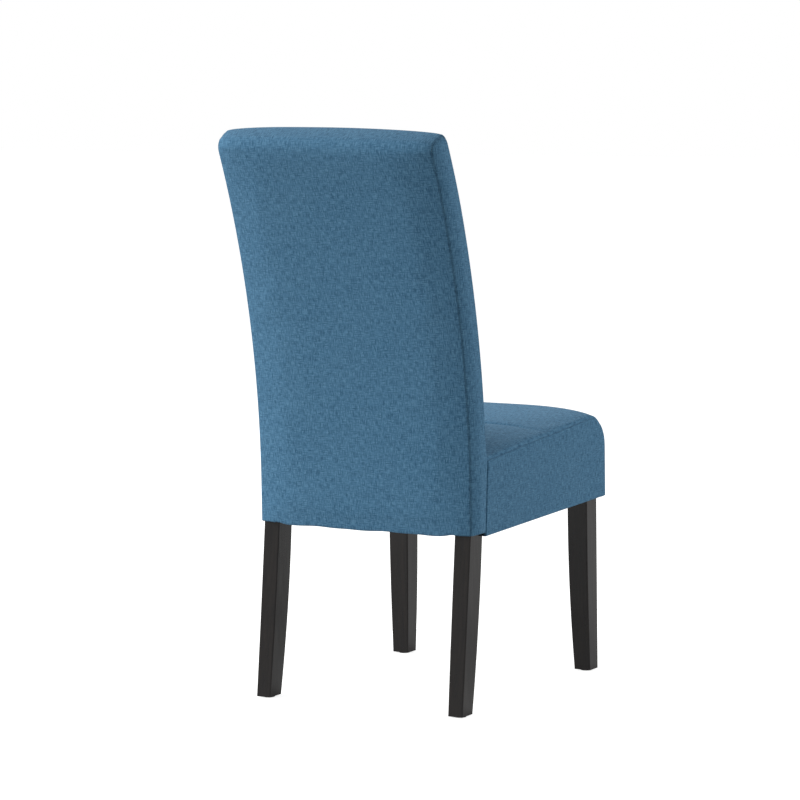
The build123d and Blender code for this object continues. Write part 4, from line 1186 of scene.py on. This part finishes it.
def sewSeams():
    lift = thread["lift"]
    spots = evenSpots(thread["backRows"])[thread["skipHem"]:]
    seamIn = {kind: seamSpot[kind][0] - lift for kind in seams}
    backLine = []
    for (k, t), (y, z) in zip(spots, backSeam(spots)):
        share = towardFront(k, t)
        backLine.append((halfWidth - seamIn["rear"] * (1 - share) - seamIn["front"] * share, y, z))
    seatLine = onOutline(seatSkin(1.0, seamSpot["seat"][1] - lift), evenSpots(thread["seatRows"])[1:-1])
    runs = []
    for side in hands.values():
        runs.append([slumped(side * x, y, z) for x, y, z in backLine])
        runs.append(at(side * (halfWidth - seamIn["seat"]), seatLine))
    overSeat, overBack = [], []
    for x in between(-thread["acrossHalf"], thread["acrossHalf"], thread["acrossRows"]):
        share = shareAt(x)
        dip = channel["depth"] * crownShare(share) - lift
        (y, z), = onOutline(seatSkin(share, 0.0), [(seatPanel["channel"], 1.0)])
        overSeat.append((x, y, z - dip))
        (y, z), = onOutline(backSkin(share, dip), [(backPanel["channel"], 1.0)])
        overBack.append((x, y, z))
    points, edges = lines(runs + [overSeat, overBack])
    growRow("seamStitchRows", stitchRow, "fabric_blue", stitches, points, edges)


# numbers of straps with their pitch, and how far each kind sags
webbing = {"end": 0.003, "long": (5, 0.072), "longSag": 0.002,
           "cross": (4, 0.084), "crossSetback": 0.020, "crossSag": 0.0005,
           "back": (4, 0.11827), "backFirst": 0.175, "backSag": 0.0015}


def spaced(count, pitch):
    return [(i - (count - 1) / 2) * pitch for i in range(count)]


def hangStraps(name, node, spots, turns, sag, length=straps["Length"]):
    sizes = {**straps, "Length": length, "Sag": sag}
    growRow(name, strapRow, "strap_webbing", sizes, spots, turns=turns, node=node)


def hangWebbing():
    thick = chair["webbing"]
    rearRail = joint - skinGap
    front, rear = legFront + webbing["end"], rearRail - webbing["end"]
    slope = math.atan(chair["seatSlope"])
    middle = (front + rear) / 2
    spots = [(x, middle, railTop(middle) + thick / 2) for x in spaced(*webbing["long"])]
    turns = [(0, slope, math.pi / 2)] * len(spots)
    hangStraps("seatLongStraps", "seat_long_straps", spots, turns, webbing["longSag"], rear - front)
    centre = (legRear + rearRail - webbing["crossSetback"]) / 2
    ys = [centre + step for step in spaced(*webbing["cross"])]
    spots = [(0, y, railTop(y) + 1.5 * thick) for y in ys]
    turns = [(-slope, 0, 0)] * len(spots)
    hangStraps("seatCrossStraps", "seat_cross_straps", spots, turns, webbing["crossSag"])
    count, pitch = webbing["back"]
    angles = [(webbing["backFirst"] + i * pitch) / (chair["bend"] + postFront) for i in range(count)]
    spots = [(0, *backPoint(postFront + thick / 2, angle)) for angle in angles]
    turns = [(math.pi / 2 - angle, 0, 0) for angle in angles]
    hangStraps("backStraps", "back_straps", spots, turns, webbing["backSag"])


sewSeams()
hangWebbing()
print("seams stitched, straps hung")

# cloth under the seat, cut out round the front legs and stapled to the rails
dust = {"inset": 0.005, "notch": 0.043, "sag": 0.0045, "sagPower": 0.7, "thick": 0.0004, "clear": 0.0009,
        "pucker": 0.0005, "puckerPitch": 26, "stapleDrop": 0.0012, "stapleInset": (0.006, 0.007),
        "rearStaples": 0.19, "frontStaples": 0.16, "legStaples": 0.012, "rearGap": 0.008}


def makeDustCover():
    half = chair["frame"] - dust["inset"]
    notchX = chair["frame"] - dust["notch"]
    front, rear = legFront + dust["inset"], joint - skinGap - dust["inset"]
    notchY = legFront + dust["notch"]
    wing = between(notchX, half, 4)
    xs = [-x for x in reversed(wing)] + between(-notchX, notchX, 44)[1:-1] + wing
    ys = between(front, notchY, 5) + between(notchY, rear, 46)[1:]
    middle, reach = (front + rear) / 2, (rear - front) / 2
    verts = []
    for y in ys:
        for x in xs:
            hang = max(0.0, 1 - (x / half) ** 2) * max(0.0, 1 - ((y - middle) / reach) ** 2)
            pucker = dust["pucker"] * ruffle(x, y, dust["puckerPitch"], 2.0) * (1 - hang)
            level = seatBottom(y) - dust["clear"]
            verts.append((x, y, level - dust["sag"] * hang ** dust["sagPower"] + pucker))
    faces, area, n = [], 0.0, len(xs)
    for i in range(len(ys) - 1):
        for j in range(n - 1):
            if ys[i] < notchY - 1e-6 and abs(xs[j] + xs[j + 1]) / 2 > notchX:
                continue
            faces.append([i * n + j, (i + 1) * n + j, (i + 1) * n + j + 1, i * n + j + 1])
            area += (ys[i + 1] - ys[i]) * (xs[j + 1] - xs[j])
    obj = meshObject("dustCloth", verts, faces, finishes["dust"])
    clean = bmesh.new()
    clean.from_mesh(obj.data)
    bmesh.ops.delete(clean, geom=[v for v in clean.verts if not v.link_faces], context="VERTS")
    clean.to_mesh(obj.data)
    clean.free()
    thicken(obj, dust["thick"])
    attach(obj, "root")
    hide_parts("dust_cover")
    inX, inY = dust["stapleInset"]
    firstY, lastY = notchY + dust["legStaples"], rear - dust["rearGap"]
    ends = [((x, firstY), (x, lastY)) for x in (half - inX, inX - half)]
    for x, y in ((dust["rearStaples"], rear - inY), (dust["frontStaples"], front + inY)):
        ends.append(((-x, y), (x, y)))
    runs = [[mixed(one, two, share) for share in evenly(20)] for one, two in ends]
    runs = [[(x, y, seatBottom(y) - dust["stapleDrop"]) for x, y in run] for run in runs]
    growRow("dustClothStaples", stapleRow, "zinc_steel", staples, *lines(runs))


# cloth that closes the back underneath, between the rear legs
strip = {"half": 0.1793, "level": 0.3284, "thick": 0.0007, "frontGap": 0.002, "rearGap": 0.004,
         "rows": 8, "cols": 60, "crease": 0.0003, "creasePitch": 30}


def makeBottomStrip():
    front, rear = joint + strip["frontGap"], backRear - strip["rearGap"]
    verts = []
    for y in between(front, rear, strip["rows"]):
        for x in between(-strip["half"], strip["half"], strip["cols"]):
            crease = strip["crease"] * ruffle(x, y, strip["creasePitch"], 7.0)
            verts.append((x, y, strip["level"] + crease))
    faces = gridFaces(strip["rows"] + 1, strip["cols"] + 1, True)
    obj = meshObject("backBottomStrip", verts, faces, finishes["linen"], [(x, y) for x, y, z in verts])
    thicken(obj, strip["thick"])
    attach(obj, "root")
    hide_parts("back_bottom_cover")


makeDustCover()
makeBottomStrip()
print("underside closed")

# plain white studio
studio = {
    "ambient": 0.38, "floorSize": 40, "floor": 0.50, "floorGlow": 0.80, "floorMirror": 0.35,
    "aim": (0, 0, 0.55),
    "lamps": {"keyLight": {"spot": (3.85, 1.95, 2.55), "size": 2.6, "power": 391.0},
              "fillLight": {"spot": (-3.5, -2.2, 2.1), "size": 2.4, "power": 123.0}},
}
white = (1, 1, 1, 1)


# the floor takes shadows, and shows white to the camera and in reflections
def makeFloor():
    bpy.ops.mesh.primitive_plane_add(size=studio["floorSize"], location=(0, 0, 0))
    floor = bpy.context.object
    floor.name = "studioFloor"
    s = Sketcher("floorWhite")
    path = s.add("ShaderNodeLightPath").outputs
    glossy = s.math("MULTIPLY", path["Is Glossy Ray"], studio["floorMirror"])
    seen = s.math("MAXIMUM", path["Is Camera Ray"], glossy)
    s.set(Base_Color=(studio["floor"],) * 3 + (1.0,), Roughness=0.9, Specular_IOR_Level=0.1,
          Emission_Color=white, Emission_Strength=s.math("MULTIPLY", seen, studio["floorGlow"]))
    floor.data.materials.append(s.material)


def makeWorld():
    world = bpy.data.worlds.new("studioWorld")
    scene.world = world
    world.use_nodes = True
    bench = NodeBench(world.node_tree)
    bench.tree.nodes.clear()
    path = bench.add("ShaderNodeLightPath").outputs
    seen = bench.math("MAXIMUM", path["Is Camera Ray"], path["Is Glossy Ray"])
    seen = bench.math("MAXIMUM", seen, path["Is Transmission Ray"])
    light = bench.add("ShaderNodeBackground", {"Color": white, "Strength": studio["ambient"]})
    shown = bench.add("ShaderNodeBackground", {"Color": white})
    mix = bench.add("ShaderNodeMixShader", {0: seen, 1: light.outputs[0], 2: shown.outputs[0]})
    bench.add("ShaderNodeOutputWorld", {"Surface": mix.outputs[0]})


def hangLamps():
    for name, lamp in studio["lamps"].items():
        data = bpy.data.lights.new(name, "AREA")
        data.size = lamp["size"]
        data.energy = lamp["power"]
        obj = bpy.data.objects.new(name, data)
        scene.collection.objects.link(obj)
        obj.location = lamp["spot"]
        aim = Vector(studio["aim"]) - Vector(lamp["spot"])
        obj.rotation_euler = aim.to_track_quat("-Z", "Y").to_euler()


makeFloor()
makeWorld()
hangLamps()
scene.view_settings.view_transform = "Standard"
print("studio lit")
